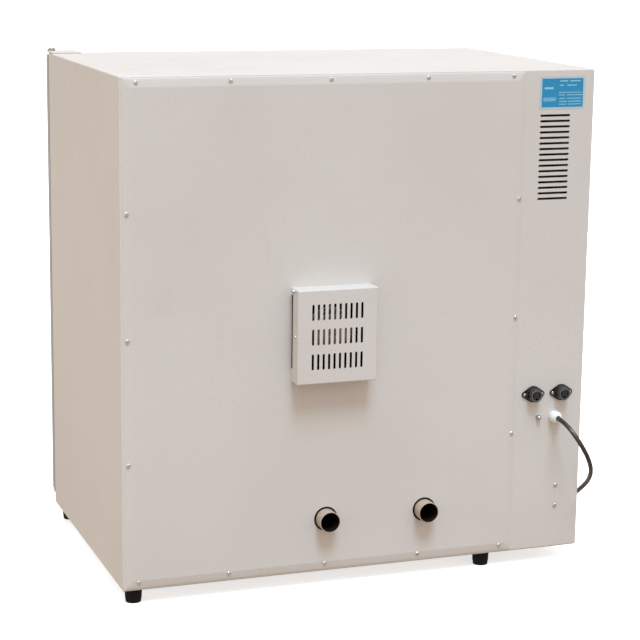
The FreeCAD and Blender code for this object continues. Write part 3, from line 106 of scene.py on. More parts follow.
# ---- power cord
CORD_RADIUS = 4.25
CORD_START = (-388.6, 309, 284.7)
CORD_ROUTE = [
    CORD_START, (-389.3, 331, 282.7), (-394.6, 353.4, 271.7), (-406.1, 369.2, 249.8),
    (-422, 371, 222.4), (-438.3, 355.1, 193.9), (-450, 326.2, 166.4), (-458, 286.6, 139.7),
    (-463, 239, 110), (-467, 187, 76), (-468.5, 140, 43.5), (-468, 92, 17), (-470, 44, 6.4),
    (-474, -11, 5.6), (-475, -58, 5.5), (-475.2, -88, 5.45),
]
COIL_CENTRE = (-530, -110)
COIL_LOWER, COIL_UPPER = 5.45, 13.95
COIL_OUTER, COIL_INNER, COIL_PITCH = 55.5, 38.5, 8.5
POINTS_PER_TURN = 16
RING_PULL = 0.981          # a NURBS line runs this much inside a ring of sixteen control points
PLUG_CENTRE, PLUG_BACK, PLUG_HEIGHT = -465, -144, 10.5


def coil_points():
    """Four turns: two inwards on the floor, then up and two outwards on top of them."""
    points = []
    for step in range(POINTS_PER_TURN * 4 - 1):
        turn = step / POINTS_PER_TURN
        if turn < 2:
            radius = COIL_OUTER - COIL_PITCH * turn
        else:
            radius = COIL_INNER + COIL_PITCH * max(0, turn - 2.3) + 9 * smooth_step(turn, 3.4, 4)
        angle = -2 * math.pi * turn
        height = COIL_LOWER + (COIL_UPPER - COIL_LOWER) * smooth_step(turn, 2, 2.3)
        points.append((COIL_CENTRE[0] + radius / RING_PULL * math.cos(angle),
                       COIL_CENTRE[1] + radius / RING_PULL * math.sin(angle), height))
    return points


def cord_points():
    lead = [(-468, -108, 13.9), (-465.6, -120, 12.6), (PLUG_CENTRE, -132, PLUG_HEIGHT + 0.3),
            (PLUG_CENTRE, -140, PLUG_HEIGHT)]
    return CORD_ROUTE + coil_points() + lead


def add_cord(look):
    data = bpy.data.curves.new("power_cord_line", "CURVE")
    data.dimensions = "3D"
    data.resolution_u = 8
    data.bevel_depth = CORD_RADIUS * MM
    data.bevel_resolution = 5
    line = data.splines.new("NURBS")
    points = cord_points()
    line.points.add(len(points) - 1)
    for control, point in zip(line.points, points):
        control.co = (*(Vector(point) * MM), 1)
    line.order_u = 3
    line.use_endpoint_u = True
    data.materials.append(look)
    cord = add_object("power_cord_line", data)
    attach(cord, "cabinet")
    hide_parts("power_cord", "cord_coil")
    return cord


# ---- materials
def srgb(red, green, blue):
    """A colour given as 0 to 255 display values, as the linear values a shader takes."""
    linear = [((c / 255 + 0.055) / 1.055) ** 2.4 if c > 10 else c / 255 / 12.92 for c in (red, green, blue)]
    return (*linear, 1)


def add_node(tree, kind, inputs, **settings):
    """The outputs of a new shader node, whose inputs are each linked to a socket or set to a value."""
    node = tree.nodes.new(f"ShaderNode{kind}")
    for setting, value in settings.items():
        setattr(node, setting, value)
    for name, value in inputs.items():
        if isinstance(value, bpy.types.NodeSocket):
            tree.links.new(value, node.inputs[name])
        else:
            node.inputs[name].default_value = value
    return node.outputs


class Look:
    """A procedural material on a Principled shader, made with short calls. Texture scales are per metre."""

    def __init__(self, name, colour, roughness, metallic=0.0, **sockets):
        self.material = bpy.data.materials.new(name)
        self.material.use_nodes = True
        self.tree = self.material.node_tree
        self.inputs = self.tree.nodes["Principled BSDF"].inputs
        self.coordinates = self.node("TexCoord", {})["Object"]
        self.colour = colour
        self.normal = None
        constants = {"Base_Color": colour, "Roughness": roughness, "Metallic": metallic, **sockets}
        for socket, value in constants.items():
            self.inputs[socket.replace("_", " ")].default_value = value

    def node(self, kind, inputs, **settings):
        return add_node(self.tree, kind, inputs, **settings)

    def link(self, start, socket):
        self.tree.links.new(start, self.inputs[socket])

    def stretched(self, stretch):
        """Object coordinates scaled by a different amount along each axis."""
        return self.node("Mapping", {"Scale": stretch, "Vector": self.coordinates})["Vector"]

    def noise(self, scale, detail=2.0, stretch=(1, 1, 1), roughness=0.5):
        inputs = {"Scale": scale, "Detail": detail, "Roughness": roughness, "Vector": self.stretched(stretch)}
        return self.node("TexNoise", inputs)["Fac"]

    def cells(self, scale):
        return self.node("TexVoronoi", {"Scale": scale, "Vector": self.coordinates})["Distance"]

    def part(self, factor, low, high, new_low=0.0, new_high=1.0):
        """The factor's stretch from low to high, spread smoothly over new values."""
        inputs = {"Value": factor, "From Min": low, "From Max": high, "To Min": new_low, "To Max": new_high}
        return self.node("MapRange", inputs, interpolation_type="SMOOTHSTEP")["Result"]

    def tint(self, other, factor, low, high, most=1.0):
        """Mixes another colour over the present one, as the factor goes from low to high."""
        base = self.inputs["Base Color"]
        present = base.links[0].from_socket if base.is_linked else self.colour
        colours = {"A": present, "B": other, "Factor": self.part(factor, low, high, 0.0, most)}
        self.link(self.node("Mix", colours, data_type="RGBA")["Result"], "Base Color")

    def polish(self, factor, low, high):
        """Roughness from low to high by the factor."""
        self.link(self.part(factor, 0.3, 0.7, low, high), "Roughness")

    def relief(self, height, depth):
        """Adds a bump of the given depth in millimetres."""
        inputs = {"Strength": 1.0, "Distance": depth * MM, "Height": height}
        if self.normal:
            inputs["Normal"] = self.normal
        self.normal = self.node("Bump", inputs)["Normal"]
        self.link(self.normal, "Normal")

    def height_above_floor(self):
        return self.node("SeparateXYZ", {"Vector": self.coordinates})["Z"]


def powder_coat(name, colour, shade):
    """Baked enamel on sheet steel: orange-peel relief, faint handling marks, dust near the floor."""
    look = Look(name, colour, 0.42, Specular_IOR_Level=0.5)
    look.tint(shade, look.noise(2.6, 3), 0.35, 0.75, 0.35)
    look.tint(shade, look.noise(380, 1), 0.45, 0.7, 0.3)
    look.tint(shade, look.noise(9, 6, (1, 1, 0.6), 0.7), 0.6, 0.78, 0.4)
    look.tint(shade, look.height_above_floor(), 0.16, 0.03, 0.1)
    look.polish(look.noise(14, 4), 0.36, 0.5)
    look.relief(look.noise(420, 1), 0.035)
    look.relief(look.noise(60, 2), 0.05)
    return look.material


def sheet_metal(name, colour, grain=(1, 60, 60), roughness=(0.26, 0.42), tarnish=(110, 104, 98)):
    """Steel with a rolled or brushed grain, which runs along the axis with the smallest stretch."""
    look = Look(name, colour, 0.34, metallic=1.0, Anisotropic=0.35)
    look.tint(srgb(*tarnish), look.noise(7, 4), 0.45, 0.8, 0.45)
    brushed = look.noise(22, 3, grain)
    look.tint(srgb(*tarnish), brushed, 0.5, 0.8, 0.35)
    look.polish(brushed, *roughness)
    look.relief(brushed, 0.012)
    look.relief(look.noise(35, 2), 0.03)
    return look.material


def plated(name, colour, roughness=0.3, spots=(96, 92, 86)):
    """Zinc or nickel plating: fine crystals and dull spots."""
    look = Look(name, colour, roughness, metallic=1.0)
    look.tint(srgb(*spots), look.noise(160, 4), 0.52, 0.75, 0.6)
    look.polish(look.noise(90, 3), roughness - 0.1, roughness + 0.14)
    look.relief(look.cells(900), 0.01)
    return look.material


def moulded(name, colour, roughness, grain=0.03, scale=700, sheen=(90, 90, 90), **sockets):
    """Moulded plastic or rubber with a fine eroded grain and lighter rubbed patches."""
    look = Look(name, colour, roughness, **sockets)
    look.tint(srgb(*sheen), look.noise(24, 5), 0.5, 0.85, 0.3)
    look.polish(look.noise(60, 4), roughness - 0.08, roughness + 0.1)
    look.relief(look.noise(scale, 3), grain)
    return look.material


def glass_look():
    look = Look("toughened_glass", (0.93, 0.975, 0.96, 1), 0.02, Transmission_Weight=1.0, IOR=1.5)
    look.polish(look.noise(16, 5), 0.015, 0.06)
    look.relief(look.noise(5, 1), 0.02)
    return look.material


def glass_wool(name, colour, shade):
    """Felted fibres in thin layers."""
    look = Look(name, colour, 0.95, Sheen_Weight=0.4)
    look.tint(shade, look.noise(260, 6, (1, 1, 0.15)), 0.35, 0.7)
    look.relief(look.noise(420, 6, (1, 1, 0.2)), 0.9)
    return look.material


def heater_sheath():
    """A nickel-alloy sheath with the blue and straw tones of use."""
    look = Look("heater_sheath", srgb(120, 110, 104), 0.38, metallic=1.0)
    look.tint(srgb(92, 84, 110), look.noise(28, 3), 0.4, 0.6)
    look.tint(srgb(138, 112, 72), look.noise(41, 3), 0.52, 0.7)
    look.polish(look.noise(200, 3), 0.3, 0.5)
    look.relief(look.noise(500, 3), 0.02)
    return look.material


def lit(name, colour, strength, roughness=0.18):
    """A lens or display segment with a faint glow."""
    look = Look(name, colour, roughness, Emission_Color=colour, Emission_Strength=strength, Coat_Weight=0.6)
    look.tint(srgb(20, 4, 4), look.noise(300, 2), 0.5, 0.8, 0.4)
    look.polish(look.noise(120, 3), roughness - 0.06, roughness + 0.08)
    look.relief(look.cells(1500), 0.02)
    return look.material


def printed_film(name, colour, shade):
    """Glossy printed polyester."""
    look = Look(name, colour, 0.3, Coat_Weight=0.3)
    look.tint(shade, look.noise(40, 4), 0.4, 0.8, 0.5)
    look.polish(look.noise(70, 4), 0.24, 0.38)
    look.relief(look.noise(240, 2), 0.02)
    return look.material


def studio_paper(name, glow):
    look = Look(name, srgb(250, 250, 250), 0.7, Emission_Color=(1, 1, 1, 1), Emission_Strength=glow)
    look.tint(srgb(244, 244, 245), look.noise(1.2, 3), 0.4, 0.7)
    look.relief(look.noise(30, 2), 0.05)
    return look.material


PAINT = powder_coat("cabinet_paint", srgb(214, 208, 201), srgb(200, 192, 182))
DOOR_PAINT = powder_coat("door_paint", srgb(176, 175, 176), srgb(160, 158, 158))
STAINLESS = sheet_metal("stainless_brushed", srgb(205, 203, 199))
GALVANISED = sheet_metal("galvanised_sheet", srgb(178, 180, 180), (1, 1, 1), (0.35, 0.55), (130, 134, 138))
ZINC = plated("zinc_plated", srgb(205, 204, 200))
BRIGHT = plated("nickel_plated", srgb(232, 230, 226), 0.2)
CHROME = plated("chrome_plated", srgb(225, 227, 230), 0.18, (176, 177, 178))
BRONZE = plated("sintered_bronze", srgb(150, 138, 124), 0.4, (112, 100, 86))
CAST = plated("cast_aluminium", srgb(188, 180, 172), 0.46, (120, 112, 106))
TUBE_METAL = moulded("vent_tube_enamel", srgb(180, 162, 142), 0.42, 0.02, 600, (160, 140, 120))
RUBBER = moulded("black_rubber", srgb(14, 10, 8), 0.7, 0.06, 420, (36, 30, 26), Specular_IOR_Level=0.25)
CORD_PVC = moulded("cord_pvc", srgb(20, 15, 13), 0.28, 0.012, 500, (48, 40, 36), Specular_IOR_Level=1.0)
# Painted shade: a near-black material laid where the real surfaces only lie in shade, behind and inside the
# motor cover and in the vent bores.
PAINTED_SHADE = moulded("dark_primer", srgb(26, 22, 19), 0.85, 0.03, 500, (40, 35, 31), Specular_IOR_Level=0.1)
BLACK_PLASTIC = moulded(
    "black_plastic", srgb(16, 13, 12), 0.25, 0.02, 900, (50, 47, 45), Specular_IOR_Level=0.8)
GREY_PLASTIC = moulded("grey_plastic", srgb(120, 122, 124), 0.46, 0.03, 800, (150, 150, 152))
NYLON = moulded("nylon_white", srgb(240, 238, 232), 0.4, 0.02, 600, (214, 208, 198), Subsurface_Weight=0.15)
SILICONE = moulded("silicone_strip", srgb(206, 202, 194), 0.55, 0.03, 500, (180, 176, 168))
GLASS = glass_look()
WOOL = glass_wool("glass_wool", srgb(222, 196, 120), srgb(190, 158, 84))
FOAM = glass_wool("door_foam", srgb(214, 200, 160), srgb(190, 172, 124))
SHEATH = heater_sheath()
RED_LENS = lit("red_lens", srgb(150, 18, 14), 0.15)
DIGIT_RED = lit("display_digit", srgb(255, 60, 34), 2.0)
DISPLAY_DARK = moulded(
    "display_dark", srgb(26, 8, 8), 0.42, 0.01, 900, (40, 14, 14), Specular_IOR_Level=0.25)
LABEL_BLUE = printed_film("label_blue", srgb(20, 140, 186), srgb(14, 128, 176))
LABEL_EDGE = printed_film("label_edge", srgb(184, 200, 208), srgb(170, 190, 202))
LABEL_PRINT = printed_film("label_print", srgb(150, 204, 222), srgb(132, 192, 214))
INK = moulded("grey_ink", srgb(64, 68, 74), 0.62, 0.02, 900, (80, 84, 90), Specular_IOR_Level=0.3)


# ---- pieces
REARWARD, FORWARD, UPWARD = (0, 1, 0), (0, -1, 0), (0, 0, 1)
HINGEWARD, CONTROLWARD = (1, 0, 0), (-1, 0, 0)
WELD = 0.001


def facing(x, y, z, outward):
    """A matrix that puts local +Z along outward and local +Y up (or to the rear for a level face)."""
    out = Vector(outward)
    up = Vector((0, 0, 1)) if abs(out.z) < 0.9 else Vector((0, 1, 0))
    across = up.cross(out)
    return Matrix.Translation((x, y, z)) @ Matrix((across, up, out)).transposed().to_4x4()


def raised(at, height):
    return at @ Matrix.Translation((0, 0, height))


def span(node):
    """A CAD node's lowest and highest corners in millimetres."""
    low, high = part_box(node)
    return Vector(low) / MM, Vector(high) / MM


def middle_and_half(node):
    """The centre of a CAD node's box and half its size, in millimetres."""
    low, high = span(node)
    return (low + high) / 2, (high - low) / 2


def home(node):
    """The CAD body that a node rides on."""
    return frame["nodes"][node].parent.name.split(":", 1)[1]


def finish_piece(obj, looks, nodes, smooth):
    """Applies the modifiers, sets smooth shading, and hands the object to the frame."""
    graph = bpy.context.evaluated_depsgraph_get()
    mesh = bpy.data.meshes.new_from_object(obj.evaluated_get(graph))
    obj.modifiers.clear()
    obj.data = mesh
    mesh.name = obj.name
    for look in looks:
        if look.name not in mesh.materials:
            mesh.materials.append(look)
    mesh.shade_smooth()
    mesh.set_sharp_from_angle(angle=math.radians(smooth))
    weighted = obj.modifiers.new("even_normals", "WEIGHTED_NORMAL")
    weighted.keep_sharp = True
    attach(obj, home(nodes[0]) if nodes else "cabinet")
    if nodes:
        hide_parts(*nodes)
    return obj


def piece(name, shape, looks, nodes=(), bevel=0.0, thickness=0.0, smooth=32, painted_shade_offset=0,
          welded=False, closed=False):
    """Turns a bmesh in millimetres into an object that rides on its nodes' body and stands for them."""
    looks = looks if isinstance(looks, (list, tuple)) else [looks]
    if welded:
        bmesh.ops.remove_doubles(shape, verts=shape.verts, dist=WELD)
    if closed:
        bmesh.ops.recalc_face_normals(shape, faces=shape.faces)
    bmesh.ops.scale(shape, vec=(MM, MM, MM), verts=shape.verts)
    mesh = bpy.data.meshes.new(name)
    shape.to_mesh(mesh)
    shape.free()
    for look in looks:
        mesh.materials.append(look)
    obj = add_object(name, mesh)
    if thickness:
        solid = obj.modifiers.new("sheet", "SOLIDIFY")
        solid.thickness = thickness * MM
        solid.offset = -1
        # The solidified inner side can take the next material; the motor cover uses this for painted shade.
        solid.material_offset = painted_shade_offset
    if bevel:
        eased = obj.modifiers.new("eased", "BEVEL")
        eased.width = bevel * MM
        eased.segments = 2
        eased.limit_method = "ANGLE"
        eased.angle_limit = math.radians(35)
    return finish_piece(obj, looks, nodes, smooth)


def refined(node, look, bevel, smooth=32):
    """A CAD node's own shape with merged faces and eased edges, in the node's place."""
    shape = bmesh.new()
    shape.from_mesh(frame["nodes"][node].data)
    bmesh.ops.scale(shape, vec=(1 / MM, 1 / MM, 1 / MM), verts=shape.verts)
    bmesh.ops.remove_doubles(shape, verts=shape.verts, dist=2 * WELD)
    bmesh.ops.dissolve_limit(shape, angle_limit=math.radians(0.6), verts=shape.verts, edges=shape.edges)
    for face in shape.faces:
        face.material_index = 0
    piece(f"{node}_detail", shape, look, [node], bevel=bevel, smooth=smooth)


def repainted(node, look):
    """A CAD node kept as it is, with a procedural material."""
    materials = frame["nodes"][node].data.materials
    if not materials:
        materials.append(look)
    for index in range(len(materials)):
        frame["nodes"][node].material_slots[index].material = look


# ---- shape helpers
def rectangle(half_w, half_h, radius=0.0, steps=4, centre=(0, 0)):
    """A closed 2-D outline, counter-clockwise, with rounded corners."""
    if radius <= 0:
        corners = [(half_w, -half_h), (half_w, half_h), (-half_w, half_h), (-half_w, -half_h)]
        return [(centre[0] + x, centre[1] + y) for x, y in corners]
    points = []
    for sx, sy, start in ((1, -1, -90), (1, 1, 0), (-1, 1, 90), (-1, -1, 180)):
        for i in range(steps + 1):
            angle = math.radians(start + 90 * i / steps)
            points.append((centre[0] + sx * (half_w - radius) + radius * math.cos(angle),
                           centre[1] + sy * (half_h - radius) + radius * math.sin(angle)))
    return points


def circle(radius, centre=(0, 0), segments=32):
    return [(centre[0] + radius * math.cos(2 * math.pi * i / segments),
             centre[1] + radius * math.sin(2 * math.pi * i / segments)) for i in range(segments)]


def slot_outline(half_w, half_h, centre):
    radius = min(half_w, half_h) * 0.999
    return rectangle(half_w, half_h, radius, 6, centre)


def lozenge(middle, end, reach, steps=10):
    """A closed outline round three circles in a row."""
    lean = math.acos((middle - end) / reach)
    points = []
    for centre, radius, start, stop in (
            (reach, end, -lean, lean), (0, middle, lean, math.pi - lean),
            (-reach, end, math.pi - lean, math.pi + lean), (0, middle, math.pi + lean, 2 * math.pi - lean)):
        for i in range(steps + 1):
            angle = start + (stop - start) * i / steps
            points.append((centre + radius * math.cos(angle), radius * math.sin(angle)))
    return points


def outline_at(shape, at, points, height=0.0):
    """Vertices at 2-D points, at a height along the local Z of a placing matrix."""
    return [shape.verts.new(at @ Vector((*point, height))) for point in points]


def add_ring(shape, at, radius, height, segments):
    return outline_at(shape, at, circle(radius, segments=segments), height)


def bridge(shape, lower, upper, material=0):
    """Faces between two rings of equally many vertices, or between a ring and a single vertex."""
    count = max(len(lower), len(upper))
    for i in range(count):
        after = (i + 1) % count
        corners = lower if len(lower) == 1 else [lower[i], lower[after]]
        corners = corners + (upper if len(upper) == 1 else [upper[after], upper[i]])
        shape.faces.new(corners).material_index = material


def stack(shape, rings, material=0):
    for lower, upper in zip(rings, rings[1:]):
        bridge(shape, lower, upper, material)


def fill(shape, verts, triangles, material=0):
    for triangle in triangles:
        shape.faces.new([verts[i] for i in triangle]).material_index = material


def revolve(shape, at, profile, segments=40, material=0):
    """A turned form from (radius, height) corners; a radius of 0 closes an end."""
    rings = [add_ring(shape, at, radius, height, segments if radius > 0 else 1) for radius, height in profile]
    stack(shape, rings, material)


def turned(name, look, node, places, profile, segments, welded=False, closed=True):
    """A piece made of the same turned form at each place."""
    shape = bmesh.new()
    for at in places:
        revolve(shape, at, profile, segments)
    piece(name, shape, look, [node], welded=welded, closed=closed)


def fluted(shape, at, sections, flutes, segments):
    """A turned form from (height, radius, flute depth) sections."""
    rings = []
    for height, radius, depth in sections:
        loop = []
        for i in range(segments):
            angle = 2 * math.pi * i / segments
            reach = radius - depth * (0.5 - 0.5 * math.cos(flutes * angle))
            loop.append((reach * math.cos(angle), reach * math.sin(angle)))
        rings.append(outline_at(shape, at, loop, height))
    stack(shape, rings)
    return rings


def rod(shape, start, end, radius, segments):
    """A round bar with domed ends between two points."""
    along = Vector(end) - Vector(start)
    at = Matrix.Translation(start) @ along.to_track_quat("Z", "Y").to_matrix().to_4x4()
    length = along.length
    revolve(shape, at, [(0, -0.3), (radius * 0.7, 0), (radius, radius * 0.3), (radius, length - radius * 0.3),
                        (radius * 0.7, length), (0, length + 0.3)], segments)


def slab(shape, x, y, z, radius, segments, material=0):
    """A box between two places along each axis, with rounded edges."""
    part = bmesh.new()
    bmesh.ops.create_cube(part, size=1)
    low, high = (Vector(corner) for corner in zip(x, y, z))
    for vert in part.verts:
        vert.co = (low + high) / 2 + (high - low) * vert.co
    bmesh.ops.bevel(part, geom=part.edges[:], offset=radius, segments=segments, profile=0.5,
                    affect="EDGES", clamp_overlap=True)
    for face in part.faces:
        face.material_index = material
    mesh = bpy.data.meshes.new("part")
    part.to_mesh(mesh)
    part.free()
    shape.from_mesh(mesh)
    bpy.data.meshes.remove(mesh)


def inside(point, loop):
    """Whether a 2-D point lies in a closed loop."""
    x, y = point
    crossed = False
    for (x0, y0), (x1, y1) in zip(loop, loop[1:] + loop[:1]):
        if (y0 > y) != (y1 > y) and x < x0 + (y - y0) * (x1 - x0) / (y1 - y0):
            crossed = not crossed
    return crossed


def cut_sheet(outline, holes=(), points=()):
    """Triangles of a flat outline with holes and extra inner points, as 2-D points and index triples."""
    loops = [list(outline)] + [list(hole) for hole in holes]
    bounds = []
    for hole in holes:
        xs, ys = zip(*hole)
        bounds.append((min(xs), max(xs), min(ys), max(ys)))

    def in_hole(point):
        for loop, (left, right, low, high) in zip(loops[1:], bounds):
            if left < point[0] < right and low < point[1] < high and inside(point, loop):
                return True
        return False

    corners, sides = [], []
    for loop in loops:
        start, count = len(corners), len(loop)
        corners += [Vector(point) for point in loop]
        sides += [(start + i, start + (i + 1) % count) for i in range(count)]
    corners += [Vector(point) for point in points if inside(point, loops[0]) and not in_hole(point)]
    found, _, triangles, *_ = delaunay_2d_cdt(corners, sides, [], 0, 1e-5)
    kept = []
    for triangle in triangles:
        middle = sum((found[i] for i in triangle), Vector((0, 0))) / len(triangle)
        if inside(middle, loops[0]) and not in_hole(middle):
            kept.append(triangle)
    return found, kept


def plate(shape, at, outline, depth, holes=(), material=0):
    """A flat plate: its face at local Z 0 and its back at -depth."""
    points, triangles = cut_sheet(outline, holes)
    top, low = outline_at(shape, at, points), outline_at(shape, at, points, -depth)
    fill(shape, top, triangles, material)
    fill(shape, low, [triangle[::-1] for triangle in triangles], material)
    start = 0
    for loop in [outline, *holes]:
        end = start + len(loop)
        bridge(shape, low[start:end], top[start:end], material)
        start = end
    return top


def tray(shape, at, half_w, half_h, depth, fold, corner, holes, steps=4):
    """The outside of a folded tray: a face at local Z 0 with holes, and walls down to -depth."""
    loops = []
    for i in range(steps + 1):
        angle = math.pi / 2 * i / steps
        inset, drop = fold * (1 - math.sin(angle)), fold * (1 - math.cos(angle))
        loops.append((rectangle(half_w - inset, half_h - inset, max(corner - inset, 0.25)), -drop))
    loops.append((loops[-1][0], -depth))
    rings = [outline_at(shape, at, loop, height) for loop, height in loops]
    stack(shape, rings[::-1])
    found, triangles = cut_sheet(loops[0][0], holes)
    face = outline_at(shape, at, found)
    fill(shape, face, triangles)
    bmesh.ops.remove_doubles(shape, verts=face + rings[0], dist=WELD)


# ---- fasteners
PANEL_X, PANEL_Z = (-306, 440), (31, 931)
PANEL_COLUMNS = [-445 + across for across in (861.6, 695.3, 512.5, 329.7, 163.4)]
PANEL_SCREWS = [(x, z) for z in (923.6, 42.7) for x in PANEL_COLUMNS]
PANEL_SCREWS += [(x, z) for x in (434.2, -300.1) for z in (259, 480, 701)]
STRIP_SCREWS = [(-397, 150), (-397, 110)]
BRACKET_SCREWS = [(401, -253), (430, -253), (416, -243)]
OUTLETS, OUTLET_HEIGHT, OUTLET_SCREW_REACH = [-342.8, -400.6], 331, 17.8
BLADE_REACH = 6.35
VENTS, VENT_HEIGHT = [67, -126], 128.3
TUBE_BORE, TUBE_FLANGE, TUBE_RADIUS = 17.4, 226.4, 19.05
EARTH_STUD = (-355.5, 285.3)
SHAFT = (67, 478)
COVER_ACROSS, COVER_MIDDLE, COVER_FACE = 62.4, 475, 331
COVER_HALF_WIDTH, COVER_HALF_HEIGHT = 74.7, 84.7
PAN_HEAD, SMALL_HEAD = (4, 2.6), (3, 2)
SCREW_SIDES = 24


def cross_screw(shape, at, radius, height, shank=4.0):
    """A domed pan head with a cross recess, on a short length of shank; local Z 0 is the panel."""
    arm, half, crown = radius * 0.52, radius * 0.13, radius * 0.72
    cross = [(arm, -half), (arm, half), (half, half), (half, arm), (-half, arm), (-half, half),
             (-arm, half), (-arm, -half), (-half, -half), (-half, -arm), (half, -arm), (half, -half)]
    rim = circle(crown, segments=SCREW_SIDES)
    points, triangles = cut_sheet(rim, [cross], circle(radius * 0.6, segments=16))
    dome = [shape.verts.new(at @ Vector((*point, height * (1 - 0.1 * (point.length / crown) ** 2))))
            for point in points]
    fill(shape, dome, triangles)
    recess = outline_at(shape, at, [(x * 0.8, y * 0.8) for x, y in cross], height * 0.38)
    bridge(shape, dome[SCREW_SIDES:SCREW_SIDES + len(cross)], recess)
    shape.faces.new(recess)
    sides = [(0.86, 0.78), (0.96, 0.55), (1.0, 0.3), (1.0, 0.0), (0.5, 0.0), (0.5, -shank / height)]
    rings = [add_ring(shape, at, radius * part, height * up, SCREW_SIDES) for part, up in sides]
    stack(shape, rings[::-1] + [dome[:SCREW_SIDES]])


def screw_set(name, node, heads):
    """Screws, each given as where it sits, its head's radius and its height; those on the top are painted."""
    shape = bmesh.new()
    for index, (at, radius, height) in enumerate(heads):
        cross_screw(shape, at @ Matrix.Rotation(index * 2.4, 4, "Z"), radius, height)
    for face in shape.faces:
        face.material_index = face.calc_center_median().z > TOP_FACE
    piece(name, shape, [BRIGHT, PAINT], [node], smooth=28)


def panel_screws():
    heads = [(facing(x, PANEL_FACE + 0.8, z, REARWARD), *PAN_HEAD) for x, z in PANEL_SCREWS]
    heads += [(facing(x, REAR_FACE, z, REARWARD), *PAN_HEAD) for x, z in STRIP_SCREWS]
    heads += [(facing(x, y, TOP_FACE + 3, UPWARD), 4, 1) for x, y in BRACKET_SCREWS]
    heads += [(facing(x, FRONT_FACE - 3, 39, FORWARD), *PAN_HEAD) for x in (401, 430)]
    screw_set("panel_screws", "pan_head_screws", heads)


def little_screws():
    """Outlet, fascia and motor-cover screws; the cover's last one is larger and stands on its hinge side."""
    near, far = COVER_ACROSS + COVER_HALF_WIDTH, COVER_ACROSS - COVER_HALF_WIDTH
    heads = [(facing(x + OUTLET_SCREW_REACH * side, REAR_FACE + 2, OUTLET_HEIGHT, REARWARD), *SMALL_HEAD)
             for x in OUTLETS for side in (-1, 1)]
    heads += [(facing(x, FRONT_FACE, z, FORWARD), *SMALL_HEAD) for x in (-435, -316) for z in (42, 920)]
    heads += [(facing(far, FIELD_FACE + 23.2, COVER_MIDDLE, CONTROLWARD), *SMALL_HEAD),
              (facing(near, FIELD_FACE + 23.2, COVER_MIDDLE, HINGEWARD), *SMALL_HEAD),
              (facing(near, FIELD_FACE + 12.2, COVER_MIDDLE + COVER_HALF_HEIGHT - 5, HINGEWARD), 4.2, 3.4)]
    screw_set("little_screws", "small_screws", heads)


# ---- cabinet outside
WINDOW_HALF_WIDTH, WINDOW_HALF_HEIGHT, WINDOW_MIDDLE = 362.5, 428.5, 482.5
LOUVRES, LOUVRE_FOOT, LOUVRE_PITCH, LOUVRE_ACROSS = 16, 698.6, 10.14, -367.6
LOUVRE_HALF_LENGTH, LOUVRE_HALF_HEIGHT = 30.15, 2.1
COVER_SLOT_HALF_WIDTH, COVER_SLOT_HALF_HEIGHT, COVER_SLOT_PITCH, COVER_ROW_PITCH = 2.2, 14.5, 10.2, 44.6
MARGIN_START, MARGIN_SLOPE = 0.5, 15
FEET_X, FEET_Y = (-257, 420), (-242, 266)
MARGIN_STEPS = [0.8, 1.8, 8, 14, 15.5, 17, 20, 30, 46]
LABEL_RULES = [
    (2.3, 21.3, 16, 2), (25.4, 21.3, 21, 2), (-2, 13.5, 8, 1.8), (18.6, 13.5, 19, 1.8), (15, 0.6, 46, 1.2),
    (-1.5, -4, 12, 1.4), (24.6, -4, 31, 1.4), (-1, -10.3, 11, 1.4), (23.5, -10.3, 29, 1.4),
    (1, -15.7, 15, 1.6), (24.5, -15.7, 27, 1.6), (1, -20.7, 15, 1.4), (24.5, -20.7, 26, 1.4),
    (-27.4, 8.6, 18, 3.4), (-26, -9.2, 25, 1.3), (-25, -11.7, 27, 1.3), (-26.5, -14.2, 24, 1.3),
]


def outer_shell():
    """The wrapped sheet: sides, top and a rear face with a window behind the panel, louvres and holes."""
    middle = (TOP_FACE + BASE_FACE) / 2
    at = facing(0, REAR_FACE, middle, REARWARD)
    window_centre = (-sum(PANEL_X) / 2, WINDOW_MIDDLE - middle)
    holes = [rectangle(WINDOW_HALF_WIDTH, WINDOW_HALF_HEIGHT, centre=window_centre)]
    for i in range(LOUVRES):
        centre = (-LOUVRE_ACROSS, LOUVRE_FOOT + LOUVRE_PITCH * i - middle)
        holes.append(slot_outline(LOUVRE_HALF_LENGTH, LOUVRE_HALF_HEIGHT, centre))
    holes += [circle(12.7, (-x, OUTLET_HEIGHT - middle)) for x in OUTLETS]
    holes += [circle(10, (-CORD_START[0], CORD_START[2] - middle)),
              circle(3.2, (-EARTH_STUD[0], EARTH_STUD[1] - middle), 16)]
    shape = bmesh.new()
    tray(shape, at, CABINET_HALF_WIDTH, TOP_FACE - middle, REAR_FACE - FRONT_FACE, 2.6, 2.6, holes)
    shape.normal_update()
    open_foot = [face for face in shape.faces
                 if face.normal.z < -0.9 and face.calc_center_median().y < REAR_FACE - 3]
    bmesh.ops.delete(shape, geom=open_foot, context="FACES")
    piece("cabinet_shell", shape, PAINT, ["outer_shell"], thickness=1.2)


def panel_height(x, z):
    """How far the rear panel stands out at a place: a sloping margin round a faintly uneven field."""
    edge = min(x - PANEL_X[0], PANEL_X[1] - x, z - PANEL_Z[0], PANEL_Z[1] - z)
    rise = (FIELD_FACE - PANEL_FACE) * min(max((edge - MARGIN_START) / MARGIN_SLOPE, 0), 1)
    field = smooth_step(edge, 40, 160)
    waves = math.sin(x / 97 + 0.6) * math.cos(z / 131 - 0.4) + 0.6 * math.sin((x + z) / 71)
    roll = -1.0 * smooth_step(-edge, -1.6, 0)
    return rise - 0.22 * field * (1 + waves) + roll


def panel_lines(low, high, pitch, count, cover_middle, cover_half):
    """Places along an axis where the rear panel's sheet is divided, close together in its margin."""
    lines = [low + step for step in MARGIN_STEPS] + [high - step for step in MARGIN_STEPS]
    lines += [low + 62 + pitch * i for i in range(count)]
    # The last two lines follow the motor cover's sides, so the painted shade behind it ends there.
    return lines + [cover_middle + side * (cover_half - 1) for side in (-1, 1)]


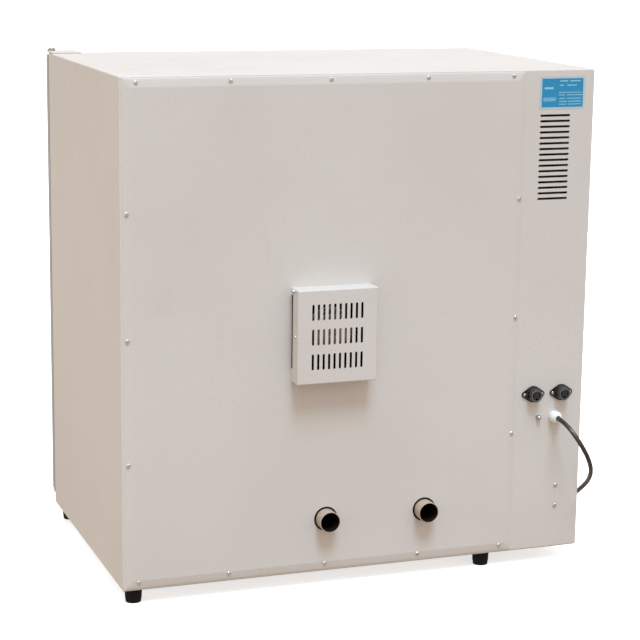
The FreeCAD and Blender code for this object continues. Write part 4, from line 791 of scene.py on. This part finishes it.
def rear_panel():
    """The screwed-on rear panel with its raised field and openings, and painted shade behind the motor cover.
    """
    across = panel_lines(*PANEL_X, 20.7, 31, COVER_ACROSS, COVER_HALF_WIDTH)
    upright = panel_lines(*PANEL_Z, 20.4, 39, COVER_MIDDLE, COVER_HALF_HEIGHT)
    (left, right), (foot, head) = PANEL_X, PANEL_Z
    outline = [(left, foot)] + [(x, foot) for x in sorted(across)] + [(right, foot)]
    outline += [(right, z) for z in sorted(upright)] + [(right, head)]
    outline += [(x, head) for x in sorted(across, reverse=True)] + [(left, head)]
    outline += [(left, z) for z in sorted(upright, reverse=True)]
    holes = [circle(20.4, (x, VENT_HEIGHT), 40) for x in VENTS] + [circle(41, SHAFT, 40)]
    found, triangles = cut_sheet(outline, holes, [(x, z) for x in across for z in upright])
    shape = bmesh.new()
    verts = [shape.verts.new((x, PANEL_FACE + panel_height(x, z), z)) for x, z in found]
    fill(shape, verts, [triangle[::-1] for triangle in triangles])
    # Faces behind the motor cover get painted shade (material index 1).
    for face in shape.faces:
        centre = face.calc_center_median()
        covered = abs(centre.x - COVER_ACROSS) < COVER_HALF_WIDTH - 1
        face.material_index = covered and abs(centre.z - COVER_MIDDLE) < COVER_HALF_HEIGHT - 1
    piece("rear_panel_sheet", shape, [PAINT, PAINTED_SHADE], ["rear_panel"], thickness=0.8,
          smooth=60)


def motor_cover():
    """A folded cover with painted shade inside, held off the panel on its hinge side, with three rows of ten
    slots.
    """
    at = facing(COVER_ACROSS, COVER_FACE, COVER_MIDDLE, REARWARD)
    centres = [(COVER_SLOT_PITCH * (4.5 - i) - 0.6, COVER_ROW_PITCH * row)
               for row in (-1, 0, 1) for i in range(10)]
    slots = [slot_outline(COVER_SLOT_HALF_WIDTH, COVER_SLOT_HALF_HEIGHT, centre) for centre in centres]
    shape = bmesh.new()
    tray(shape, at, COVER_HALF_WIDTH, COVER_HALF_HEIGHT, COVER_FACE - FIELD_FACE, 2.2, 1.2, slots)
    low, high = COVER_MIDDLE - COVER_HALF_HEIGHT + 24, COVER_MIDDLE + COVER_HALF_HEIGHT - 12
    reach = FIELD_FACE + 8
    for place, normal in (((0, 0, low), UPWARD), ((0, 0, high), UPWARD), ((0, reach, 0), REARWARD)):
        everything = shape.verts[:] + shape.edges[:] + shape.faces[:]
        bmesh.ops.bisect_plane(shape, geom=everything, plane_co=place, plane_no=normal, dist=WELD)
    gap = []
    for face in shape.faces:
        centre = face.calc_center_median()
        if centre.x > COVER_ACROSS + COVER_HALF_WIDTH - 1 and centre.y < reach and low < centre.z < high:
            gap.append(face)
    bmesh.ops.delete(shape, geom=gap, context="FACES")
    # The inner side of the sheet gets painted shade.
    piece("motor_cover_sheet", shape, [PAINT, PAINTED_SHADE], ["motor_cover"], thickness=1.0,
          painted_shade_offset=1)


def vent_tubes():
    """Drawn tubes through the rear wall with painted shade in the bores, flanged in the chamber, with a
    rolled outer lip.
    """
    profile = [(TUBE_BORE, TUBE_FLANGE), (25, TUBE_FLANGE), (25, 228.2), (TUBE_RADIUS, 228.2),
               (TUBE_RADIUS, 317.6), (19.3, 318.4), (19.0, 319), (18.0, 319), (17.5, 318.3), (TUBE_BORE, 317),
               (TUBE_BORE, TUBE_FLANGE)]
    shape = bmesh.new()
    for x in VENTS:
        revolve(shape, facing(x, 0, VENT_HEIGHT, REARWARD), profile, 56)
    # The bores get painted shade (material index 1).
    for face in shape.faces:
        centre = face.calc_center_median()
        away = min(math.hypot(centre.x - x, centre.z - VENT_HEIGHT) for x in VENTS)
        face.material_index = away < TUBE_BORE + 0.4 and centre.y > TUBE_FLANGE + 0.1
    piece("vent_tube_pair", shape, [TUBE_METAL, PAINTED_SHADE], ["vent_tubes"],
          welded=True, closed=True)


def vent_grommets():
    """A thin black edging in the panel round each tube."""
    places = [facing(x, FIELD_FACE - 0.9, VENT_HEIGHT, REARWARD) for x in VENTS]
    turned("vent_grommet_pair", RUBBER, "vent_grommets", places, [
        (19.1, -2), (22.6, -2), (22.6, 0.2), (22.2, 1.3), (21.2, 1.9), (19.8, 1.9), (19.1, 1.2), (19.1, -2)],
        56, welded=True)


def outlets():
    """Black flanged outlets with a raised round face in a grey rim, blade slots and an earth hole."""
    shape = bmesh.new()
    flange = lozenge(15.5, 5.5, OUTLET_SCREW_REACH)
    screw_holes = [circle(1.7, (OUTLET_SCREW_REACH * side, 0), 12) for side in (-1, 1)]
    slots = [rectangle(0.9, 3.5, centre=(-BLADE_REACH, 1.5)),
             rectangle(0.9, 4.25, centre=(BLADE_REACH, 1.75)), circle(2.4, (0, -7), 16)]
    sides = 40
    for x in OUTLETS:
        at = facing(x, REAR_FACE, OUTLET_HEIGHT, REARWARD)
        plate(shape, raised(at, 2), flange, 2, screw_holes)
        face = plate(shape, raised(at, 17), circle(10.9, segments=sides), 12, slots)
        rings = [add_ring(shape, at, *ring, sides) for ring in ((12.5, 2), (12.5, 15.6), (11.9, 16.6))]
        stack(shape, rings + [face[:sides]])
        revolve(shape, at, [(12.4, 0), (12.4, -22), (0, -22)], sides)
        revolve(shape, at, [(12.5, 3.9), (13.4, 3.9), (14.3, 3.4), (14.6, 2)], sides)
        revolve(shape, at, [(9.3, 16.9), (9.5, 17.7), (10.2, 17.8), (10.6, 16.9)], sides)
    for face in shape.faces:
        face.material_index = face.calc_center_median().y > REAR_FACE + 17.1
    piece("outlet_pair", shape, [BLACK_PLASTIC, GREY_PLASTIC], ["receptacles"],
          welded=True, closed=True)


def cord_gland():
    """A white nylon gland: a fluted grip and a rounded dome with a soft lip round the cord."""
    shape = bmesh.new()
    sections = [(0, 11.2, 0), (0.5, 11.7, 0), (1.4, 11.8, 0), (2, 11.5, 0.4), (7.5, 11.6, 0.5),
                (8.6, 11.6, 0.1), (10.4, 11.2, 0), (12.4, 10.5, 0), (14.2, 9.5, 0), (15.8, 8.3, 0),
                (17, 7.1, 0), (17.8, 6.0, 0), (18, 5.2, 0), (17.6, 4.6, 0), (16, 4.5, 0)]
    fluted(shape, facing(CORD_START[0], REAR_FACE, CORD_START[2], REARWARD), sections, 12, 72)
    piece("cord_gland_nylon", shape, NYLON, ["cord_gland"], smooth=50)


def earth_stud():
    """A short stud with a washer and a hexagon nut."""
    at = facing(EARTH_STUD[0], REAR_FACE, EARTH_STUD[1], REARWARD)
    shape = bmesh.new()
    revolve(shape, at, [(0, 9), (2.2, 9), (3, 8.2), (3, 0)], 20)
    for i in range(7):
        revolve(shape, at, [(3.0, 5.2 + i * 0.5), (3.25, 5.35 + i * 0.5), (3.0, 5.5 + i * 0.5)], 20)
    revolve(shape, at, [(5.6, 0), (5.6, 0.8), (5.5, 1), (3, 1)], 28)
    turns = [math.radians(60 * i + 12) for i in range(6)]
    nut = [(4.7 * math.cos(turn), 4.7 * math.sin(turn)) for turn in turns]
    plate(shape, raised(at, 5), nut, 4, [circle(3, segments=20)])
    piece("earth_stud_set", shape, ZINC, ["ground_stud"], bevel=0.15, closed=True)


def rear_label():
    """A blue film label with a pale border and plain rules where print would be."""
    shape = bmesh.new()
    middle, half = middle_and_half("rating_label")
    at = facing(middle.x, REAR_FACE, middle.z, REARWARD)
    plate(shape, raised(at, 0.3), rectangle(half.x, half.z, 1.5), 0.3, material=0)
    plate(shape, raised(at, 0.36), rectangle(half.x - 4.2, half.z - 3.8, 0.6), 0.1, material=1)
    for x, z, width, tall in LABEL_RULES:
        plate(shape, raised(at, 0.4), rectangle(width / 2, tall / 2, centre=(x, z)), 0.08, material=2)
    piece("rear_label_film", shape, [LABEL_EDGE, LABEL_BLUE, LABEL_PRINT], ["rating_label"])


def rubber_feet():
    """Tapered rubber feet with a hollow base."""
    places = [facing(x, y, 0, UPWARD) for x in FEET_X for y in FEET_Y]
    turned("rubber_feet_set", RUBBER, "rubber_feet", places, [
        (6.5, 14), (6.5, 0.8), (7.2, 0), (12.6, 0), (13.7, 0.5), (14, 1.4), (14.4, 7), (14.9, 7.4),
        (15.8, 26), (15.6, 27.6), (14.8, 28), (6.5, 28)], 44, closed=False)


# ---- cord ends
def plug_piece():
    """A moulded plug: ribbed relief, a waisted grip and three bright pins."""
    at = facing(PLUG_CENTRE, PLUG_BACK, PLUG_HEIGHT, FORWARD)
    shape = bmesh.new()
    sections = [(-12, 5.0, 5.0, 5.0), (-11.2, 5.6, 5.6, 5.6)]
    for i in range(4):
        for step, radius in ((0, 5.8), (0.3, 5.0), (1.0, 5.0), (1.3, 5.9)):
            sections.append((-10.4 + i * 2.5 + step, radius, radius, radius))
    sections += [(-0.5, 6.3, 6.3, 6.3), (1, 9.5, 8.2, 5.5), (4, 11.8, 9.4, 5.2), (9, 12.2, 9.6, 5),
                 (17, 11.2, 9.0, 5), (24, 11.4, 9.2, 5), (30, 12.8, 9.8, 5), (35.5, 13, 10, 5),
                 (37.5, 12.7, 9.7, 5), (38, 12, 9, 4.6)]
    rings = []
    for height, half_w, half_h, radius in sections:
        loop = rectangle(half_w, half_h, min(radius, half_w, half_h) * 0.999, 6)
        rings.append(outline_at(shape, at, loop, height))
    stack(shape, rings)
    shape.faces.new(rings[-1])
    shape.faces.new(rings[0][::-1])
    for side in (-1, 1):
        x = PLUG_CENTRE + side * BLADE_REACH
        slab(shape, (x - 0.75, x + 0.75), (PLUG_BACK - 54.8, PLUG_BACK - 37),
             (PLUG_HEIGHT - 1, PLUG_HEIGHT + 5.4), 0.35, 2, 1)
    pin = [(2.4, 37), (2.4, 54.6), (2.0, 56.2), (1.2, 57), (0, 57)]
    revolve(shape, at @ Matrix.Translation((0, -6, 0)), pin, 24, 1)
    return piece("moulded_plug", shape, [CORD_PVC, BRIGHT], ["plug"], smooth=40, closed=True)


def tie_piece():
    """A hook-and-loop strap round the coil's section."""
    middle, half = middle_and_half("cord_tie")
    half_w, half_h, centre = half.x - 0.6, half.z - 0.1, (middle.x, middle.z)
    shape = bmesh.new()
    outer = rectangle(half_w, half_h, 6, 8, centre)
    inner = rectangle(half_w - 1.1, half_h - 1.1, 5, 8, centre)
    rings = [[shape.verts.new((x, y, z)) for x, z in loop] for loop, y in (
        (outer, -114.5), (outer, -105.5), (inner, -105.5), (inner, -114.5))]
    stack(shape, rings + rings[:1])
    lap = middle.z + half_h
    slab(shape, (middle.x - 9, middle.x + 7), (-114.3, -105.7), (lap, lap + 0.9), 0.4, 2)
    return piece("cord_tie_strap", shape, RUBBER, ["cord_tie"], bevel=0.25, closed=True)


# ---- outer door
HANDLE_ACROSS, HANDLE_MIDDLE, HANDLE_REACH = -272, 478, 93
HINGE_PIN, HINGE_PLATE_X, HINGE_PLATE_Y = (436.5, -280), (388, 445), (-295, -235)
GASKET_LOBES = [
    (0, 0), (0, 0.5), (0.12, 0.62), (0.2, 1), (0.5, 0.84), (0.8, 1), (0.88, 0.62), (1, 0.5), (1, 0)]


def door_skin():
    """The door's steel face, folded at its edges."""
    middle, half = middle_and_half("door_skin")
    at = facing(middle.x, middle.y - half.y, middle.z, FORWARD)
    shape = bmesh.new()
    holes = [circle(2.7, (HANDLE_ACROSS - middle.x, HANDLE_MIDDLE + HANDLE_REACH * side - middle.z), 16)
             for side in (-1, 1)]
    tray(shape, at, half.x, half.z, 2 * half.y, 4, 4, holes, steps=6)
    piece("door_skin_sheet", shape, DOOR_PAINT, ["door_skin"], thickness=1.0)


def door_handle():
    """A squared tubular pull with eased corners, polished, on two feet."""
    low, high = span("door_handle")
    x, wall = (low.x + high.x) / 2, high.y
    path = [(wall, low.z + 7), (wall - 22, low.z + 7), (wall - 29, low.z + 9.5), (wall - 31, low.z + 17),
            (wall - 31, high.z - 17), (wall - 29, high.z - 9.5), (wall - 22, high.z - 7), (wall, high.z - 7)]
    section = rectangle(9, 7, 3.4, 4)
    across = Vector((1, 0, 0))
    shape = bmesh.new()
    rings = []
    for i, (y, z) in enumerate(path):
        before, after = path[max(0, i - 1)], path[min(len(path) - 1, i + 1)]
        along = Vector((0, after[0] - before[0], after[1] - before[1])).normalized()
        outward = across.cross(along)
        rings.append([shape.verts.new(Vector((x, y, z)) + across * a + outward * b) for a, b in section])
    stack(shape, rings)
    shape.faces.new(rings[0])
    shape.faces.new(rings[-1][::-1])
    piece("door_pull", shape, CHROME, ["door_handle"], smooth=50, closed=True)


def gasket_strip(name, node):
    """A ribbed strip mitred round a frame; its lobes are (across, proud) parts of the node's own section."""
    low, high = span(node)
    source = frame["nodes"][node].data
    inner_x = min(abs(v.co.x / MM - low.x) for v in source.vertices if 2 < v.co.x / MM - low.x < 40)
    shape = bmesh.new()
    rings = []
    for across, proud in GASKET_LOBES:
        inset = inner_x * across
        y = high.y - (high.y - low.y) * proud
        rings.append([shape.verts.new((x, y, z)) for x, z in (
            (low.x + inset, low.z + inset), (high.x - inset, low.z + inset),
            (high.x - inset, high.z - inset), (low.x + inset, high.z - inset))])
    stack(shape, rings + rings[:1])
    piece(name, shape, SILICONE, [node], bevel=0.15, closed=True)


def hinge_parts():
    """The top hinge plate with its headed pin, and the angle below the door."""
    shape = bmesh.new()
    slab(shape, HINGE_PLATE_X, HINGE_PLATE_Y, (TOP_FACE, TOP_FACE + 3), 1.0, 3)
    revolve(shape, facing(*HINGE_PIN, 0, UPWARD), [
        (0, 912.6), (4.6, 912.6), (6, 914), (6, 937), (7.2, 937), (7.4, 937.6), (7.4, 939.8), (6.2, 941.4),
        (3.2, 942.1), (0, 942.2)], 36)
    for face in shape.faces:
        centre = face.calc_center_median()
        face.material_index = math.hypot(centre.x - HINGE_PIN[0], centre.y - HINGE_PIN[1]) < 9
    piece("top_hinge", shape, [PAINT, BRONZE], ["hinge_bracket_top"], closed=True)
    refined("hinge_bracket_bottom", ZINC, 0.5)


# ---- glass door and chamber
def glass_knob():
    turned("glass_door_knob", CHROME, "glass_knob", [facing(-204, -239.5, 478, FORWARD)], [
        (0, -6.2), (6.6, -6.2), (7, -5.8), (7, -5), (3.1, -5), (3.1, 0), (7, 0), (7, 0.8), (5.6, 2.4),
        (5.4, 4), (6.4, 5.6), (8.8, 6.6), (9.5, 7.6), (9.5, 10.6), (8.8, 12), (7.6, 12.5), (0, 12.3)], 40)


def wire_shelf(index):
    """A polished wire shelf: a bar frame, two cross bars and wires that lie on them."""
    node = f"shelf_{index}"
    low, high = span(node)
    level = (low.z + high.z) / 2
    shape = bmesh.new()
    for y in (low.y + 3, high.y - 3, low.y + 131, low.y + 259):
        rod(shape, (low.x + 2, y, level - 0.4), (high.x - 2, y, level - 0.4), 2.6, 16)
    for x in (low.x + 3, high.x - 3):
        rod(shape, (x, low.y + 1, level - 0.4), (x, high.y - 1, level - 0.4), 2.6, 16)
    pitch = (high.x - low.x - 6) / 24
    for i in range(1, 24):
        x = low.x + 3 + pitch * i
        rod(shape, (x, low.y + 0.6, level + 1.3), (x, high.y - 0.6, level + 1.3), 1.6, 12)
    piece(f"wire_shelf_{index}", shape, CHROME, [node], closed=True)


# ---- controls
CONTROLS_ACROSS, OVERLAY_HEIGHT, DIAL_HEIGHT = -375, 770, 640
KEY_DROP, KEY_PITCH, LAMP_DROP, LAMP_REACH = 15, 26, 52, 15
SEGMENTS = {"3": "abcdg", "7": "abc", "0": "abcdef"}
SEGMENT_LENGTH, SEGMENT_WIDTH = 9, 1.7


def fascia():
    """The control panel's face with a printed surround for the display and keys, and the dial's scale."""
    refined("control_fascia", DOOR_PAINT, 0.5)
    shape = bmesh.new()
    at = facing(CONTROLS_ACROSS, FRONT_FACE - 0.25, OVERLAY_HEIGHT, FORWARD)
    holes = [rectangle(33.5, 15.5, 2, 4, (0, 35))]
    holes += [circle(7.4, (KEY_PITCH * i, -KEY_DROP), 32) for i in (-1, 0, 1)]
    holes += [circle(6.2, (LAMP_REACH * i, -LAMP_DROP), 28) for i in (-1, 1)]
    plate(shape, at, rectangle(54, 72, 5, 6), 0.25, holes)
    for x, width in ((-KEY_PITCH, 10), (0, 8), (KEY_PITCH, 8)):
        plate(shape, raised(at, 0.05), rectangle(width / 2, 0.4, centre=(x, -27.5)), 0.1, material=1)
    piece("control_overlay", shape, [INK, LABEL_EDGE])
    shape = bmesh.new()
    at = facing(CONTROLS_ACROSS, FRONT_FACE - 0.1, DIAL_HEIGHT, FORWARD)
    for i in range(11):
        long = 3.4 if i % 5 == 0 else 2
        turn = Matrix.Rotation(math.radians(225 - 27 * i), 4, "Z")
        plate(shape, at @ turn @ Matrix.Translation((19.4 + long / 2, 0, 0)), rectangle(long / 2, 0.35), 0.1)
    piece("dial_scale", shape, INK)


def display():
    """A dark window with a lit reading of three digits."""
    middle, half = middle_and_half("display_window")
    at = facing(middle.x, middle.y - half.y, middle.z, FORWARD)
    shape = bmesh.new()
    plate(shape, at, rectangle(half.x, half.z, 1, 3), 2 * half.y)
    long, thin = SEGMENT_LENGTH, SEGMENT_WIDTH / 2
    places = {"a": (0, long, 0), "g": (0, 0, 0), "d": (0, -long, 0), "b": (long / 2, long / 2, 90),
              "c": (long / 2, -long / 2, 90), "f": (-long / 2, long / 2, 90), "e": (-long / 2, -long / 2, 90)}
    end = long / 2 - 0.5
    bar = [(-end, 0), (thin - end, -thin), (end - thin, -thin), (end, 0), (end - thin, thin),
           (thin - end, thin)]
    front = raised(at, 0.12)
    for digit, across in zip("370", (-17, -1, 18)):
        for segment in SEGMENTS[digit]:
            x, z, turn = places[segment]
            put = front @ Matrix.Translation((across + x, z, 0)) @ Matrix.Rotation(math.radians(turn), 4, "Z")
            plate(shape, put, bar, 0.1, material=1)
    plate(shape, front @ Matrix.Translation((8.6, -long, 0)), circle(1.1, segments=12), 0.1, material=1)
    piece("display_face", shape, [DISPLAY_DARK, DIGIT_RED], ["display_window"])


def keys():
    """Three domed keys with a dished face."""
    profile = [(0, -6), (2, -6), (2, 0.7), (7.5, 0.7), (7.5, 1.9), (6, 1.9), (6, 6.6), (5.7, 7.3),
               (5.0, 7.75), (4.2, 7.8), (2.4, 7.45), (0, 7.35)]
    for i, node in enumerate(("button_set", "button_down", "button_up")):
        across = CONTROLS_ACROSS + KEY_PITCH * (i - 1)
        place = facing(across, FRONT_FACE + 5.2, OVERLAY_HEIGHT - KEY_DROP, FORWARD)
        turned(f"{node}_key", GREY_PLASTIC, node, [place], profile, 36)


def lamps():
    places = [facing(CONTROLS_ACROSS + side, FRONT_FACE, OVERLAY_HEIGHT - LAMP_DROP, FORWARD)
              for side in (-LAMP_REACH, LAMP_REACH)]
    turned("lamp_lenses", RED_LENS, "indicator_lamps", places, [
        (0, -9), (4, -9), (4, 0), (5, 0), (5, 0.9), (4.4, 1.6), (3.8, 2.4), (2.6, 3.2), (1.2, 3.55),
        (0, 3.6)], 32)


def dial():
    """A skirted knob with a fluted grip and a pale pointer line."""
    at = facing(CONTROLS_ACROSS, FRONT_FACE, DIAL_HEIGHT, FORWARD)
    shape = bmesh.new()
    sections = [(0.6, 14.8, 0), (1.2, 15, 0), (4.6, 15, 0), (5.4, 14.2, 0), (6.2, 12.0, 0), (6.8, 11.4, 0.7),
                (14, 11.0, 0.7), (15.4, 10.4, 0.3), (16, 9.4, 0)]
    shape.faces.new(fluted(shape, at, sections, 16, 96)[-1])
    revolve(shape, at, [(3, -16), (3, 0.6), (14.8, 0.6)], 24)
    plate(shape, at @ Matrix.Translation((0, 6, 16.1)), rectangle(0.7, 3.4, 0.6), 0.2, material=1)
    piece("overtemp_dial_knob", shape, [BLACK_PLASTIC, LABEL_EDGE], ["overtemp_knob"],
          smooth=45, closed=True)


# ---- carried-over pieces
EASED = {
    "chamber_liner": (STAINLESS, 0.35), "fan_wheel": (CAST, 0.3), "motor_housing": (CAST, 0.6),
    "motor_bracket": (ZINC, 0.4), "motor_shaft": (ZINC, 0.2), "air_baffle": (STAINLESS, 0.35),
    "shelf_standards": (STAINLESS, 0.25), "shelf_runners": (STAINLESS, 0.3), "heater_element": (SHEATH, 0.2),
    "temperature_probe": (STAINLESS, 0.3), "glass_hinge_brackets": (STAINLESS, 0.3),
    "glass_hinge_straps": (STAINLESS, 0.3), "glass_pane": (GLASS, 0.8), "door_inner_pan": (DOOR_PAINT, 0.5),
    "switch_housing": (BLACK_PLASTIC, 0.6), "power_rocker": (BLACK_PLASTIC, 0.7),
    "base_pan": (GALVANISED, 0.3), "foot_bolts": (ZINC, 0.4), "gland_nut": (NYLON, 0.3),
    "controller_module": (GREY_PLASTIC, 1.0), "overtemp_thermostat": (GREY_PLASTIC, 0.5),
}
REPAINTED = {
    "compartment_divider": GALVANISED, "insulation_batts": WOOL, "door_insulation": FOAM,
    "motor_bushings": BRONZE, "door_bushings": NYLON,
}


def carried_over():
    """CAD nodes whose own shape is right: edges eased where they show, and a material on every one."""
    refined("front_frame", PAINT, 0.3, smooth=30)
    for node, (look, bevel) in EASED.items():
        refined(node, look, bevel)
    for node, look in REPAINTED.items():
        repainted(node, look)


# ---- stage and light
WALL_SECTION = [(12.5, -0.0002), (13.2, 0.06), (13.6, 0.3), (13.9, 0.9), (14, 1.6), (14, 16)]


def stage_piece(name, shape, glow):
    """Studio paper that the object is seen against, and that lights nothing."""
    mesh = bpy.data.meshes.new(name)
    shape.to_mesh(mesh)
    shape.free()
    mesh.shade_smooth()
    mesh.materials.append(studio_paper(name, glow))
    paper = add_object(name, mesh)
    paper.visible_diffuse = False
    paper.visible_glossy = False
    return paper


def add_stage():
    """A pale floor with a pale round wall far out."""
    shape = bmesh.new()
    below_feet = Matrix.Translation((0, 0, -0.0003))
    bmesh.ops.create_grid(shape, x_segments=28, y_segments=28, size=14.2, matrix=below_feet)
    stage_piece("studio_floor", shape, 0.6)
    shape = bmesh.new()
    revolve(shape, Matrix.Identity(4), WALL_SECTION, 96)
    wall = stage_piece("studio_wall", shape, 1.0)
    wall.visible_shadow = False


def add_lamp(name, kind, place, aim, energy, colour):
    data = bpy.data.lights.new(name, kind)
    data.energy = energy
    data.color = colour
    lamp = add_object(name, data)
    lamp.location = place
    lamp.rotation_euler = Vector(aim).to_track_quat("-Z", "Y").to_euler()
    return data


def add_soft_box(name, place, aim, size, power, colour):
    data = add_lamp(name, "AREA", place, aim, power, colour)
    data.shape = "RECTANGLE"
    data.size, data.size_y = size


def add_world():
    """Warm light from all round, brighter from above."""
    world = bpy.data.worlds.new("studio")
    world.use_nodes = True
    tree = world.node_tree
    direction = add_node(tree, "TexCoord", {})["Generated"]
    height = add_node(tree, "SeparateXYZ", {"Vector": direction})["Z"]
    spread = add_node(tree, "MapRange", {"Value": height, "From Min": -0.35, "From Max": 0.6})["Result"]
    colours = {"A": (0.50, 0.415, 0.35, 1), "B": (0.98, 0.91, 0.86, 1), "Factor": spread}
    background = tree.nodes["Background"]
    tree.links.new(add_node(tree, "Mix", colours, data_type="RGBA")["Result"], background.inputs["Color"])
    background.inputs["Strength"].default_value = 1.0
    bpy.context.scene.world = world


def add_light():
    """An even studio with one cool soft light overhead, and weak fills for the hinge side and the doors."""
    add_world()
    overhead = add_lamp("overhead", "SUN", (0, 0, 0), (-0.03, -0.42, -0.90), 2.7, (0.60, 0.79, 1.0))
    overhead.angle = math.radians(22)
    add_soft_box("hinge_side_fill", (3.5, 0, 0.45), (-3.1, 0, 0), (1.6, 0.8), 15.5, (0.93, 0.97, 0.96))
    add_soft_box("door_fill", (-1.5, -3.6, 0.45), (1.5, 3.3, 0), (2.4, 0.8), 50, (0.86, 0.93, 1.0))
    bpy.context.scene.view_settings.view_transform = "Standard"


# ---- assembly
def build():
    add_camera()
    cord = add_cord(CORD_PVC)
    plug, tie = plug_piece(), tie_piece()
    for make in (
        outer_shell, rear_panel, motor_cover, vent_tubes, vent_grommets, outlets, cord_gland, earth_stud,
        rear_label, panel_screws, little_screws, rubber_feet, door_skin, door_handle, hinge_parts,
        glass_knob, fascia, display, keys, lamps, dial, carried_over,
    ):
        make()
    gasket_strip("door_gasket_strip", "door_gasket")
    gasket_strip("glass_gasket_strip", "glass_door_gasket")
    for index in (1, 2, 3):
        wire_shelf(index)
    add_stage()
    add_light()


build()
